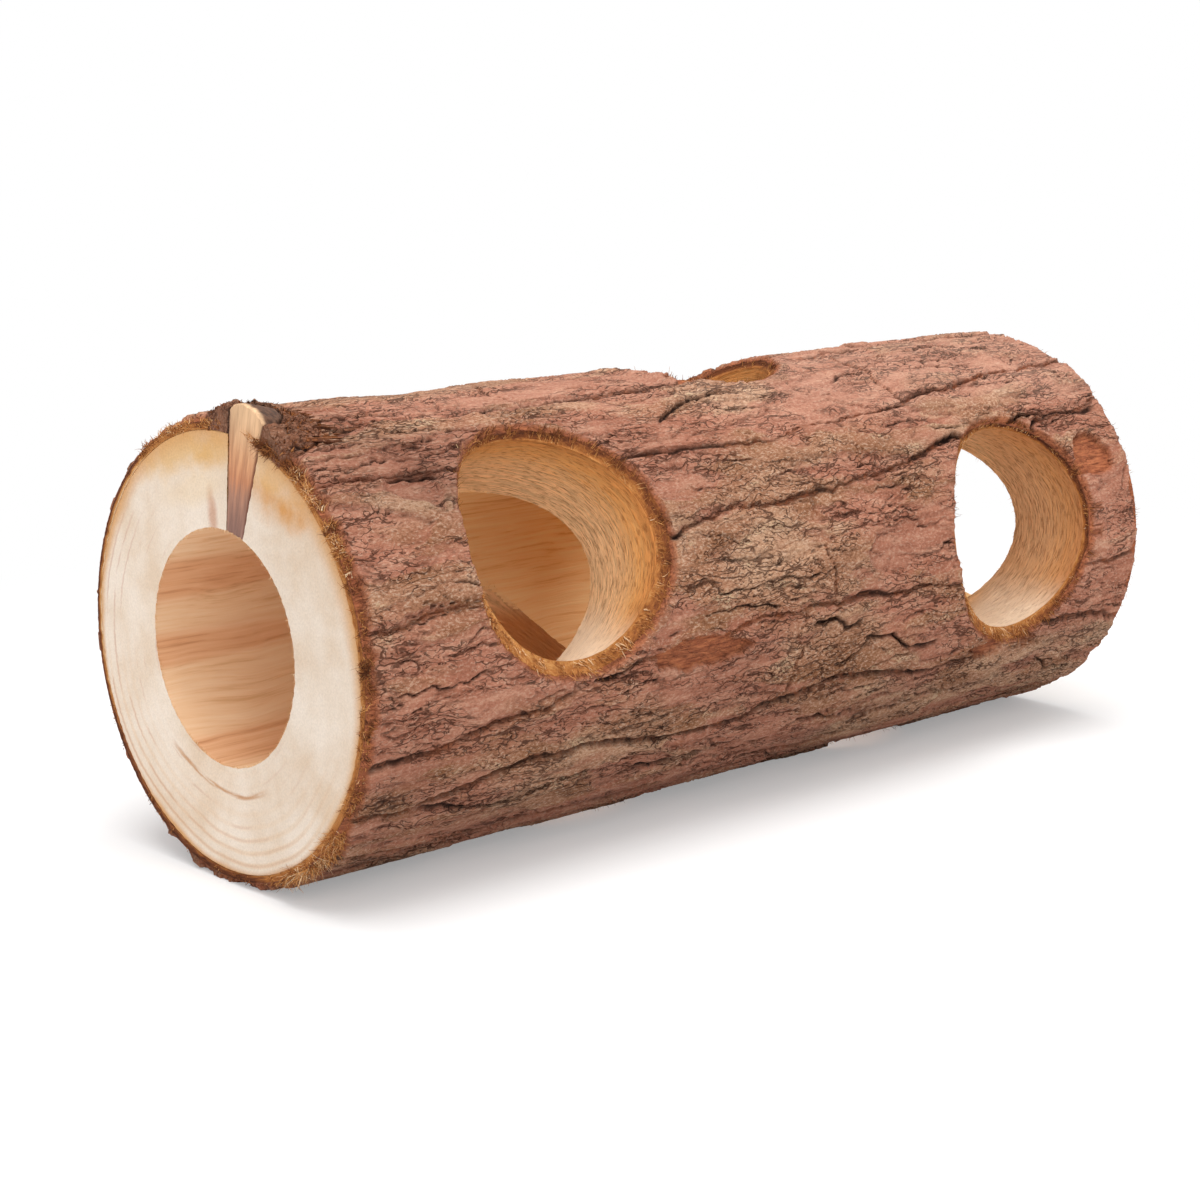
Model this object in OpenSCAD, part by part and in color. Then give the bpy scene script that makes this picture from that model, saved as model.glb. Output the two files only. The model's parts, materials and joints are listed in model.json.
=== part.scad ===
// Hollow log tunnel for a small pet, with its bark left on.
// A length of branch wood is bored from end to end, and five round windows of the same bit
// open into the bore. The log lies along X with its near end at -X, its front at -Y, and it
// rests on a small flat at Z = 0. Angles round the log start at the front and go up over the top.

/* [Log] */
// Length between the sawn ends
log_length = 200; // [180:1:300]
// Diameter over the bark
log_d = 80; // [72:1:110]
// Depth of the flat worn into the bark where the log rests
rest_flat = 0.8; // [0.4:0.1:1.2]

/* [Bark] */
// Thickness of the fibrous inner bark
inner_bark_t = 1.2; // [0.6:0.1:3]
// Thickness of the outer bark at its thickest plates
outer_bark_t = 1.8; // [1.4:0.1:4]
// Thickness of the outer bark at its thinnest plates
thin_bark_t = 1.2; // [0.8:0.1:4]
// Width of a fissure between two strips, at its foot
fissure_w = 0.8; // [0.3:0.1:1.6]
// Width of a crack across a strip
crack_w = 0.6; // [0.3:0.1:1.6]
// How far a crack across a strip wanders to each side
crack_jag = 1.6; // [0:0.1:3]
// How far the saw has torn the outer bark back from each end
end_tear = 1.2; // [0.2:0.1:4]

/* [Fallen flakes] */
// Distance from one fallen flake to the next along a strip
flake_pitch = 17; // [14:0.5:30]
// Length of the pan that a flake leaves
flake_l = 28; // [16:0.5:32]
// Width of the pan, as a share of its strip
flake_w_share = 0.42; // [0.2:0.02:0.5]
// Depth of the pan, as a share of its plate's thickness
flake_t_share = 0.45; // [0.2:0.05:0.6]
// Width of the bark that keeps its flakes round windows, scars and the knot
flake_rim = 1.5; // [1:0.1:4]

/* [Bore] */
// Diameter of the bore
bore_d = 40; // [32:0.5:50]
// How far the bore lies behind the middle of the log
bore_back = 0; // [-3:0.1:3]
// How far the bore lies above the middle of the log
bore_up = 1; // [-3:0.1:3]

/* [Windows] */
// Diameter of each window
window_d = 39; // [30:0.5:44]
// How far the outer bark is torn back round a window
window_bark_tear = 3.5; // [1:0.1:6]
// How far the inner bark is torn back round a window
window_inner_tear = 1; // [0.2:0.1:3]
// Near front window, from the near end
front_near_in = 45.5; // [36:0.5:60]
// Near front window, angle above the front
front_near_angle = 28; // [10:1:45]
// Far front window, from the far end
front_far_in = 36; // [32:0.5:50]
// Far front window, angle above the front
front_far_angle = 8; // [-5:1:30]
// Top window, from the near end
top_in = 111; // [100:0.5:125]
// Top window, angle above the front
top_angle = 106; // [85:1:120]
// Near window underneath, from the near end
under_near_in = 70; // [60:0.5:80]
// Far window underneath, from the far end
under_far_in = 53; // [45:0.5:65]
// Both windows underneath, angle below the front
under_angle = 102; // [85:1:115]

/* [Bare scars] */
// Scar under the near front window, past the window's middle
near_scar_past = 28; // [24:0.5:34]
// Angle of that scar above the front
near_scar_angle = -7; // [-10:1:-4]
// Length of that scar
near_scar_l = 24; // [12:0.5:30]
// Width of that scar
near_scar_w = 7; // [3:0.5:9]
// Scar beside the far front window, past the window's middle
far_scar_past = 24; // [22:0.5:27]
// Angle of that scar above the front
far_scar_angle = 27; // [15:1:32]
// Length of that scar
far_scar_l = 15; // [8:0.5:17]
// Width of that scar
far_scar_w = 9; // [4:0.5:11]
// Scar under the far front window, short of the window's middle
low_scar_short = 3; // [2:0.5:5]
// Angle of that scar above the front
low_scar_angle = -25; // [-27:1:-23]
// Length of that scar
low_scar_l = 26; // [24:0.5:32]
// Width of that scar
low_scar_w = 7.5; // [6:0.5:10]

/* [Branch knot] */
// Angle of the branch stub above the front
knot_angle = 78; // [60:1:110]
// Distance of the stub's middle behind the sawn end
knot_in = 1.5; // [0:0.1:4]
// Diameter of the stub where it meets the bore
knot_root_d = 4.8; // [3:0.1:8]
// Diameter of the stub outside the bark
knot_top_d = 9.4; // [6:0.1:16]
// How far the stub stands out of the bark
knot_reach = 2.8; // [1:0.1:10]
// Gap that has dried open round the stub
knot_gap = 0.15; // [0.05:0.05:0.4]
// Width of the swollen bark collar round the stub
collar_w = 6; // [3:0.1:10]
// Height of the collar over the bark
collar_rise = 1.8; // [0.5:0.1:6]

/* [Hidden] */
$fn = 96;
log_r = log_d / 2;
base_r = log_r - outer_bark_t;
wood_r = base_r - inner_bark_t;
plate_step = outer_bark_t - thin_bark_t;
axis_z = log_r - rest_flat;
front_far_x = log_length - front_far_in;
under_far_x = log_length - under_far_in;
near_scar_x = front_near_in + near_scar_past;
// The strip under the near front window is broken in the clear, past the scar there
mid_break_x = near_scar_x + near_scar_l;

// Each window: place from the near end, angle round the log
windows = [
    [front_near_in, front_near_angle],
    [front_far_x, front_far_angle],
    [top_in, top_angle],
    [under_near_in, -under_angle],
    [under_far_x, -under_angle],
];

// Each fissure along the log: angle at the near end, angle at the far end, swing in degrees,
// waves over the log's length, phase of the wave
fissures = [
    [-120, -118, 2, 2, 0],
    [-74, -73, 2, 1.5, 90],
    [-53, -58, 3.5, 1.75, 125],
    [-31, -24, 3.3, 2.9, 222],
    [-14, 2, 6, 1, -72],
    [12, 46, 1.5, 3, 0],
    [46, 58, 5, 1, 99],
    [72, 88, 5, 1, 162],
    [118, 112, 3, 2, 40],
    [154, 160, 3, 2.2, 200],
    [200, 196, 3, 1.8, 120],
];

// Each strip of bark between one fissure and the next: name, places of the cracks across it
strips = [
    ["under", [under_near_in, under_far_x]],
    ["under_front", [0.54 * log_length]],
    ["low_front", [0.38 * log_length, 0.74 * log_length]],
    ["mid_front", [mid_break_x, front_far_x]],
    ["front", [front_near_in, 0.53 * log_length, front_far_x]],
    ["high_front", [front_near_in, 0.61 * log_length]],
    ["shoulder", [front_near_in, 0.71 * log_length]],
    ["crest", [0.27 * log_length, top_in, 0.8 * log_length]],
    ["crest_back", [0.4 * log_length, 0.75 * log_length]],
    ["back", [0.34 * log_length, 0.69 * log_length]],
    ["back_low", [0.55 * log_length]],
];

// Each scar where the outer bark has come off: place, angle, length, width
scars = [
    [near_scar_x, near_scar_angle, near_scar_l, near_scar_w],
    [front_far_x + far_scar_past, far_scar_angle, far_scar_l, far_scar_w],
    [front_far_x - low_scar_short, low_scar_angle, low_scar_l, low_scar_w],
];

// Shares of plate_step taken off the plates in turn; the plates underneath stay full
plate_drops = [0, 0.6, 0.2, 1, 0.4];
// Shares of the way across a strip at which flakes have fallen off, in turn
flake_rows = [0.1, 0.62, 0.92, 0.34];
edge_steps = 8;
hole_steps = 36;
// Angle from a strip's middle within which a hole can reach into the strip
hole_reach = 60;
dome_steps = 5;
bark_colours = ["#8e6650", "#9a7160", "#85604c", "#a3795f"];

function plate_name(s, p) = str("bark_", strips[s][0], "_", p + 1);
function plate_count(s) = len(strips[s][1]) + 1;

function mix(a, b, t) = a + (b - a) * t;

// Angle of fissure k at a place along the log; the one after the last is the first again
function fissure_angle(k, x) =
    k == len(fissures) ? fissure_angle(0, x) + 360
    : let (f = fissures[k], t = x / log_length)
        mix(f[0], f[1], t) + f[2] * sin(360 * f[3] * t + f[4]);

function strip_angle(s) =
    (fissure_angle(s, log_length / 2) + fissure_angle(s + 1, log_length / 2)) / 2;

// Height of fissure k over the middle of strip s, measured flat across the strip
function fissure_y(s, k, x) = base_r * sin(fissure_angle(k, x) - strip_angle(s));

// Where crack c of strip s lies at a share f of the way across the strip
function crack_x(s, c, f) = strips[s][1][c] + crack_jag * sin(540 * f + 70 * s + 110 * c);

function plate_start(s, p, f) = p == 0 ? end_tear : crack_x(s, p - 1, f) + crack_w / 2;
function plate_end(s, p, f) =
    p == plate_count(s) - 1 ? log_length - end_tear : crack_x(s, p, f) - crack_w / 2;

function plate_point(s, x, f) =
    [x, mix(fissure_y(s, s, x) + fissure_w / 2, fissure_y(s, s + 1, x) - fissure_w / 2, f)];

function plate_edge(s, p, f, steps) =
    [for (t = steps) plate_point(s, mix(plate_start(s, p, f), plate_end(s, p, f), t), f)];

// Outline of a plate, seen straight from outside: along its lower fissure, up the crack at
// its far end, back along its upper fissure and down the crack at its near end
function plate_outline(s, p) = concat(
    plate_edge(s, p, 0, [for (i = [0 : edge_steps]) i / edge_steps]),
    [for (f = [0.25, 0.5, 0.75]) plate_point(s, plate_end(s, p, f), f)],
    plate_edge(s, p, 1, [for (i = [edge_steps : -1 : 0]) i / edge_steps]),
    [for (f = [0.75, 0.5, 0.25]) plate_point(s, plate_start(s, p, f), f)]
);

function plate_r(s, p) =
    s == 0 ? log_r : log_r - plate_step * plate_drops[(2 * s + p) % len(plate_drops)];

// Where flake i of strip s has come off, and how long it was
function flake_x(s, i) = flake_pitch * (i + 0.5 + 0.25 * sin(97 * i + 53 * s));
function flake_length(s, i) = flake_l * (1 + 0.2 * sin(61 * i + 29 * s));

// Angle from the middle of strip s to an angle round the log, the short way
function from_strip(s, angle) = (angle - strip_angle(s) + 540) % 360 - 180;

// Outline of a round hole in the bark, seen straight onto strip s; its axis passes the log's axis
// by some way to one side
function hole_outline(s, x, angle, r, aside) = [
    for (k = [0 : hole_steps - 1])
        let (
            a = 360 * k / hole_steps,
            turn = from_strip(s, angle) + asin(min(1, max(-1, (r * sin(a) + aside) / log_r)))
        )
        [x + r * cos(a), log_r * sin(min(90, max(-90, turn)))]
];

// The flakes whose pans reach into a plate
function plate_flakes(s, p) = [
    for (i = [0 : floor(log_length / flake_pitch)])
        let (x = flake_x(s, i), half = flake_length(s, i) / 2)
        if (x + half > plate_start(s, p, 0.5) && x - half < plate_end(s, p, 0.5)) i
];

// Carries shapes from the log's own frame, with X from the near end, to the part's frame
module placed() {
    translate([-log_length / 2, 0, axis_z]) children();
}

// Turns a shape's Z to point straight out of the log at an angle round it
module outward(x, angle) {
    translate([x, 0, 0]) rotate([90 - angle, 0, 0]) children();
}

module round_bar(r) {
    rotate([0, 90, 0]) cylinder(r = r, h = log_length);
}

module bore_room() {
    translate([-1, bore_back, bore_up]) rotate([0, 90, 0]) cylinder(d = bore_d, h = log_length + 2);
}

// The windows with a margin round them, each from the bore's middle line outwards
module window_rooms(margin) {
    for (w = windows)
        translate([0, bore_back, bore_up]) outward(w[0], w[1]) cylinder(d = window_d + 2 * margin, h = log_d);
}

module beyond_near_end() {
    translate([-log_d, -log_d, -log_d]) cube([log_d, 2 * log_d, 2 * log_d]);
}

module below_rest() {
    translate([-1, -log_d, -log_d - axis_z]) cube([log_length + 2, 2 * log_d, log_d]);
}

// The branch stub: a cone from inside the bore with a rounded top, grown by a gap
module stub_form(gap) {
    root = bore_d / 2;
    top = log_r + knot_reach;
    dome = knot_top_d / 4;
    top_r = knot_top_d / 2;
    root_r = knot_root_d / 2;
    outward(knot_in, knot_angle) rotate_extrude()
        polygon(concat(
            [[0, root / 2], [mix(root_r, top_r, -root / 2 / (top - root)) + gap, root / 2]],
            [for (i = [0 : dome_steps])
                let (a = 90 * i / dome_steps)
                [i == dome_steps ? 0 : top_r * cos(a) + gap, top - dome + (dome + gap) * sin(a)]]
        ));
}

module collar_room(margin) {
    outward(knot_in, knot_angle) cylinder(r = knot_top_d / 2 + knot_gap + collar_w + margin, h = log_d);
}

// A flat lens along X
module lens(length, width) {
    arc_r = (length * length + width * width) / (4 * width);
    intersection() {
        translate([0, arc_r - width / 2]) circle(r = arc_r);
        translate([0, width / 2 - arc_r]) circle(r = arc_r);
    }
}

module scar_room(scar) {
    outward(scar[0], scar[1]) linear_extrude(height = log_d) lens(scar[2], scar[3]);
}

// What stays whole round the holes and scars near strip s, drawn flat on the strip
module whole_bark(s) {
    for (w = windows)
        if (abs(from_strip(s, w[1])) < hole_reach)
            polygon(hole_outline(
                s, w[0], w[1], window_d / 2 + window_bark_tear + flake_rim,
                bore_back * sin(w[1]) + bore_up * cos(w[1])));
    if (abs(from_strip(s, knot_angle)) < hole_reach)
        polygon(hole_outline(
            s, knot_in, knot_angle, knot_top_d / 2 + knot_gap + collar_w + fissure_w / 2 + flake_rim, 0));
    for (scar = scars)
        if (abs(from_strip(s, scar[1])) < hole_reach)
            translate([scar[0], log_r * sin(from_strip(s, scar[1]))])
                lens(scar[2] + 4 * flake_rim, scar[3] + 2 * flake_rim);
}

// The pans in a plate, drawn flat on its strip
module flake_rooms(s, p) {
    outward(0, strip_angle(s)) linear_extrude(height = log_d) difference() {
        for (i = plate_flakes(s, p)) {
            x = flake_x(s, i);
            strip_w = fissure_y(s, s + 1, x) - fissure_y(s, s, x);
            translate(plate_point(s, x, flake_rows[(i + s) % len(flake_rows)]))
                lens(flake_length(s, i), flake_w_share * strip_w);
        }
        whole_bark(s);
    }
}

module log_wood() {
    color("#e6d2bf") placed() difference() {
        round_bar(wood_r);
        bore_room();
        window_rooms(0);
        stub_form(knot_gap);
    }
}

module branch_knot() {
    color("#c58c66") placed() difference() {
        stub_form(0);
        bore_room();
        beyond_near_end();
    }
}

module knot_collar() {
    inner_r = knot_top_d / 2 + knot_gap;
    color("#6f4d3d") placed() difference() {
        outward(knot_in, knot_angle) rotate_extrude() polygon([
            [inner_r, bore_d / 2],
            [inner_r, log_r + collar_rise],
            [inner_r + collar_w * 0.3, log_r + collar_rise * 0.9],
            [inner_r + collar_w * 0.7, log_r + collar_rise * 0.3],
            [inner_r + collar_w, base_r],
            [inner_r + collar_w, bore_d / 2],
        ]);
        round_bar(wood_r);
        beyond_near_end();
    }
}

module inner_bark() {
    color("#8e543a") placed() difference() {
        round_bar(base_r);
        round_bar(wood_r);
        window_rooms(window_inner_tear);
        collar_room(fissure_w / 2);
    }
}

module bark_plate(s, p) {
    color(bark_colours[(s + p) % len(bark_colours)]) placed() difference() {
        intersection() {
            round_bar(plate_r(s, p));
            outward(0, strip_angle(s)) linear_extrude(height = log_d) polygon(plate_outline(s, p));
        }
        round_bar(base_r);
        window_rooms(window_bark_tear);
        collar_room(fissure_w / 2);
        for (scar = scars) scar_room(scar);
        below_rest();
        // The plates that the log rests on have kept their flakes
        if (s > 0) difference() {
            flake_rooms(s, p);
            round_bar(mix(plate_r(s, p), base_r, flake_t_share));
        }
    }
}

log_wood();
branch_knot();
knot_collar();
inner_bark();
for (s = [0 : len(strips) - 1])
    for (p = [0 : plate_count(s) - 1])
        bark_plate(s, p);
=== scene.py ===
"""Looks of a hollow log tunnel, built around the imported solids.

Every shape is worked out in the log's own frame, in millimetres: x from the near end, y towards the
back and z up from the log's axis. Angles round the log start at the front and go up over the top.
"""
import json
import math

import bpy
import numpy as np
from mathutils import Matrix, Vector
from mathutils.bvhtree import BVHTree


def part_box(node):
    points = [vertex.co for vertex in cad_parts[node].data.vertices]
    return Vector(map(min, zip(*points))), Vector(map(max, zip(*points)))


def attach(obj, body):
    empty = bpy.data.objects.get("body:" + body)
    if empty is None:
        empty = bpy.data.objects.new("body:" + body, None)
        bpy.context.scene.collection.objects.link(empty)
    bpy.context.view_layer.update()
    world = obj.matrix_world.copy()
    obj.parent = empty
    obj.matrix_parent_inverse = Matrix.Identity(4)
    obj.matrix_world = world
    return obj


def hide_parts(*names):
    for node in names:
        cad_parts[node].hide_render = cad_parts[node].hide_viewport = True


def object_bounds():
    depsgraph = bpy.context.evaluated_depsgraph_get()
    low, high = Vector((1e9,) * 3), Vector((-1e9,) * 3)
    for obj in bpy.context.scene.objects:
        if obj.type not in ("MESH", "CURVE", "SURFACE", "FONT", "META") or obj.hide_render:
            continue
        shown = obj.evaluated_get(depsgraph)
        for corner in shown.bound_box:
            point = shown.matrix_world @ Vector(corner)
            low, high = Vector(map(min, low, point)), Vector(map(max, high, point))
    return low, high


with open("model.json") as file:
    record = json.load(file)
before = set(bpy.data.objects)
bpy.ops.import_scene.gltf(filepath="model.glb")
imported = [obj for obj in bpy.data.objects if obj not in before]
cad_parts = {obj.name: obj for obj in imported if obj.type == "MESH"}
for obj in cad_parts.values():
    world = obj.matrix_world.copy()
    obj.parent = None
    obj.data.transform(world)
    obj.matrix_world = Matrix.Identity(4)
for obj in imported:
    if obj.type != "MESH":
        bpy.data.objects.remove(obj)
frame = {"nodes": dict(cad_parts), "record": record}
cad_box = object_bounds()
nodes = frame["nodes"]
mounts = {m["name"]: m for m in frame["record"]["mounts"]}

# Sizes from the frame
MM = 0.001
wood_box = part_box("log_wood")
HALF = wood_box[1].x / MM
LENGTH = 2 * HALF
AXIS_Z = (wood_box[0].z + wood_box[1].z) / 2 / MM
WOOD_R = (wood_box[1].y - wood_box[0].y) / 2 / MM
BASE_R = (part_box("inner_bark")[1].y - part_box("inner_bark")[0].y) / 2 / MM
LOG_R = (cad_box[1].y - cad_box[0].y) / 2 / MM
GIRTH = 2 * math.pi * LOG_R
ORIGIN = np.array([-HALF, 0, AXIS_Z])
BORE_R = mounts["tunnel"]["dims"]["r_mm"]
BORE_Y = mounts["tunnel"]["pos_m"][1] / MM
BORE_Z = mounts["tunnel"]["pos_m"][2] / MM - AXIS_Z
PLATES = sorted(n for n in nodes if n.startswith("bark_"))
FLOOR_GAP = 0.04


def log_points(node):
    """The vertices of a CAD node in the log's own frame."""
    return np.array([v.co for v in nodes[node].data.vertices]) / MM - ORIGIN


def ways_at(angle):
    """The ways out of the log and round it, at an angle."""
    level, up = math.cos(angle), math.sin(angle)
    return np.array([0, -level, up]), np.array([0, up, level])


class Opening:
    """A round hole in the log's side: the foot of its axis, its angle and its radius."""

    def __init__(self, foot, angle, radius):
        self.foot = foot
        self.x = foot[0]
        self.angle = angle
        self.radius = radius
        self.ahead, self.across = ways_at(angle)
        # How far its axis misses the log's
        self.shift = foot @ self.across

    def polar(self, x, angle, r):
        """Distance from the hole's axis and turn round it, for points on the log."""
        side = r * np.sin(angle - self.angle) - self.shift
        away = np.hypot(x - self.x, side)
        return np.where(np.cos(angle - self.angle) > 0, away, LENGTH), np.arctan2(side, x - self.x)

    def place(self, away, turn, r):
        """The x and angle on the log of a point at a distance from the hole's axis."""
        side = away * np.sin(turn) + self.shift
        return self.x + away * np.cos(turn), self.angle + np.arcsin(np.clip(side / r, -1, 1))

    def drilled(self, out, turn, r):
        """Points at a distance along the hole's axis, and at a turn and a radius round it."""
        points = self.foot + out[..., None] * self.ahead + (r * np.sin(turn))[..., None] * self.across
        points[..., 0] += r * np.cos(turn)
        return points


def window_from(mount):
    angle = math.atan2(mount["axis"][2], -mount["axis"][1])
    foot = np.array([mount["pos_m"][0] / MM + HALF, BORE_Y, BORE_Z])
    return Opening(foot, angle, mount["dims"]["r_mm"])


WINDOWS = [window_from(m) for name, m in mounts.items() if name.startswith("window")]

# The branch knot's own axis, from the CAD solids: its top is the point furthest from the log's axis
knot_points = log_points("branch_knot")
knot_out = np.hypot(knot_points[:, 1], knot_points[:, 2])
KNOT_TOP = knot_out.max()
knot_apex = knot_points[knot_out.argmax()]
KNOT_X = knot_apex[0]
KNOT_ANGLE = math.atan2(knot_apex[2], -knot_apex[1])
KNOT_OUT, KNOT_ACROSS = ways_at(KNOT_ANGLE)
KNOT_FOOT = np.array([KNOT_X, 0, 0])


def from_knot_axis(points):
    """Height along the knot's axis and distance from it."""
    along = (points - KNOT_FOOT) @ KNOT_OUT
    return along, np.hypot(points[:, 0] - KNOT_X, points @ KNOT_ACROSS)


KNOT_R = from_knot_axis(knot_points)[1].max()
KNOT_ROOT_R = from_knot_axis(knot_points)[1][from_knot_axis(knot_points)[0] < BORE_R + 1].max()
COLLAR_R = from_knot_axis(log_points("knot_collar"))[1].max()
KNOT = Opening(KNOT_FOOT, KNOT_ANGLE, COLLAR_R)


# Noise and small helpers

def full_turn(count):
    """As many angles, evenly round a ring."""
    return np.arange(count) / count * 2 * math.pi


def grid(low, high, rows, cols):
    """Values from low to high down the rows of a grid, and angles round its columns."""
    along = np.linspace(low, high, rows)[:, None] * np.ones(cols)
    return along, full_turn(cols) * np.ones((rows, 1))


def smooth(lo, hi, value):
    """Rises softly from 0 at lo to 1 at hi."""
    t = np.clip((value - lo) / (hi - lo), 0, 1)
    return t * t * (3 - 2 * t)


def between(lo, full, fading, hi, value):
    """Rises softly to 1 from lo to full, and falls again from fading to hi."""
    return smooth(lo, full, value) * (1 - smooth(fading, hi, value))


def hump(middle, half, value):
    """A soft hump of height 1."""
    return np.exp(-((value - middle) / half) ** 2)


def noise(x, arc, size_x, size_arc, seed):
    """Smooth noise, about -1 to 1, with cells of a size in mm, that closes round the log."""
    rows = int(LENGTH / size_x) + 12
    cols = max(3, round(GIRTH / size_arc))
    turn = np.random.default_rng(seed).uniform(0, 2 * math.pi, (rows, cols))
    slope_x, slope_a = np.cos(turn), np.sin(turn)
    u = x / size_x + 6
    v = arc / GIRTH * cols
    row = np.floor(u).astype(int)
    col = np.floor(v).astype(int)
    u, v = u - row, v - col

    def corner(i, j):
        at = np.clip(row + i, 0, rows - 1), (col + j) % cols
        return slope_x[at] * (u - i) + slope_a[at] * (v - j)

    su = u * u * u * (u * (u * 6 - 15) + 10)
    sv = v * v * v * (v * (v * 6 - 15) + 10)
    low = corner(0, 0) * (1 - su) + corner(1, 0) * su
    high = corner(0, 1) * (1 - su) + corner(1, 1) * su
    return 1.5 * (low * (1 - sv) + high * sv)


def noise_at(x, arc):
    """The noise at fixed places, as a function of its cells' size and a seed."""
    return lambda size_x, size_arc, seed: noise(x, arc, size_x, size_arc, seed)


def fractal(x, arc, size_x, size_arc, octaves, seed):
    """Noise in octaves, each half as large and half as strong as the one before."""
    total = 0
    for k in range(octaves):
        total = total + noise(x, arc, size_x / 2 ** k, size_arc / 2 ** k, seed + k) / 2 ** k
    return total


def ragged(turn, seed, waves=20):
    """An uneven wave round a hole, about -1 to 1."""
    rng = np.random.default_rng(seed)
    total = 0
    for k in range(2, waves):
        total = total + np.sin(k * turn + rng.uniform(0, 2 * math.pi)) * rng.uniform(0.5, 1) / k ** 0.6
    return total / 2


def blur(field, rows, cols):
    """Mean over a box of grid points; the second axis goes round the log."""
    padded = np.pad(field, ((rows, rows), (0, 0)), mode="edge")
    summed = sum(padded[k:k + field.shape[0]] for k in range(2 * rows + 1)) / (2 * rows + 1)
    return sum(np.roll(summed, k, axis=1) for k in range(-cols, cols + 1)) / (2 * cols + 1)


def on_log(x, angle, r):
    """Points of the log's frame at a place, an angle and a radius."""
    return np.stack([x + 0 * r, -r * np.cos(angle), r * np.sin(angle)], axis=-1)


# Meshes

def closed_sheet(quads, top, bottom):
    """A solid between two sheets of one grid, walled in along its free edges."""
    used, corner = np.unique(quads, return_inverse=True)
    corner = corner.reshape(-1, 4)
    n = len(used)
    start = corner.ravel()
    end = np.roll(corner, -1, axis=1).ravel()
    free = ~np.isin(end * n + start, start * n + end)
    a, b = start[free], end[free]
    walls = np.stack([b, a, a + n, b + n], axis=1)
    faces = np.concatenate([corner, corner[:, ::-1] + n, walls])
    return np.concatenate([sheet.reshape(-1, 3)[used] for sheet in (top, bottom)]), faces, used


def grid_quads(rows, cols, wrap):
    """Corners of the cells of a grid of points, round in its second direction if wrap is true."""
    i, j = np.meshgrid(np.arange(rows - 1), np.arange(cols if wrap else cols - 1), indexing="ij")
    k = (j + 1) % cols
    return np.stack([i * cols + j, (i + 1) * cols + j, (i + 1) * cols + k, i * cols + k], axis=-1)


def new_mesh(name, points, faces):
    mesh = bpy.data.meshes.new(name)
    faces = faces if isinstance(faces, list) else faces.tolist()
    mesh.from_pydata(((points + ORIGIN) * MM).tolist(), [], faces)
    mesh.update()
    return mesh


def mesh_points(mesh):
    found = np.zeros(len(mesh.vertices) * 3)
    mesh.vertices.foreach_get("co", found)
    return found.reshape(-1, 3) / MM - ORIGIN


def placed(name, data):
    """A new object in the scene."""
    added = bpy.data.objects.new(name, data)
    bpy.context.scene.collection.objects.link(added)
    return added


def with_modifiers(shown):
    """An object's mesh as its modifiers leave it."""
    return bpy.data.meshes.new_from_object(shown.evaluated_get(bpy.context.evaluated_depsgraph_get()))


def add_piece(name, mesh, materials, stands_for=(), sharp=50):
    """Adds a finished mesh to the scene as a piece of the log."""
    mesh.shade_smooth()
    mesh.set_sharp_from_angle(angle=math.radians(sharp))
    mesh.materials.clear()
    for material in materials:
        mesh.materials.append(material)
    piece = placed(name, mesh)
    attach(piece, "root")
    if stands_for:
        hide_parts(*stands_for)


def set_tones(mesh, tones, shade):
    """Marks for the shaders: weathered, painted shade in crevices, and bare; and how dark a spot is,
    which on the bark includes painted light and shade.
    """
    layer = mesh.attributes.new("tone", "FLOAT_VECTOR", "POINT")
    layer.data.foreach_set("vector", np.asarray(tones, np.float32).ravel())
    layer = mesh.attributes.new("shade", "FLOAT", "POINT")
    layer.data.foreach_set("value", np.asarray(shade, np.float32).ravel())


def merged(name, parts):
    """One mesh from parts, each given as its points, faces and shades, and kept above the floor."""
    points, faces, shade = [], [], []
    for some, corners, tone in parts:
        base = sum(len(p) for p in points)
        faces.extend([base + v for v in face] for face in corners)
        points.append(some)
        shade.append(tone)
    points = np.concatenate(points)
    points[:, 2] = np.maximum(points[:, 2], FLOOR_GAP - AXIS_Z)
    mesh = new_mesh(name, points, faces)
    set_tones(mesh, np.zeros((len(points), 3)), np.concatenate(shade))
    return mesh


# Materials

def srgb(red, green, blue):
    """A linear colour from values as they show on screen, 0 to 255."""
    shown = [c / 255 for c in (red, green, blue)]
    return [((c + 0.055) / 1.055) ** 2.4 if c > 0.04 else c / 12.92 for c in shown] + [1]


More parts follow.
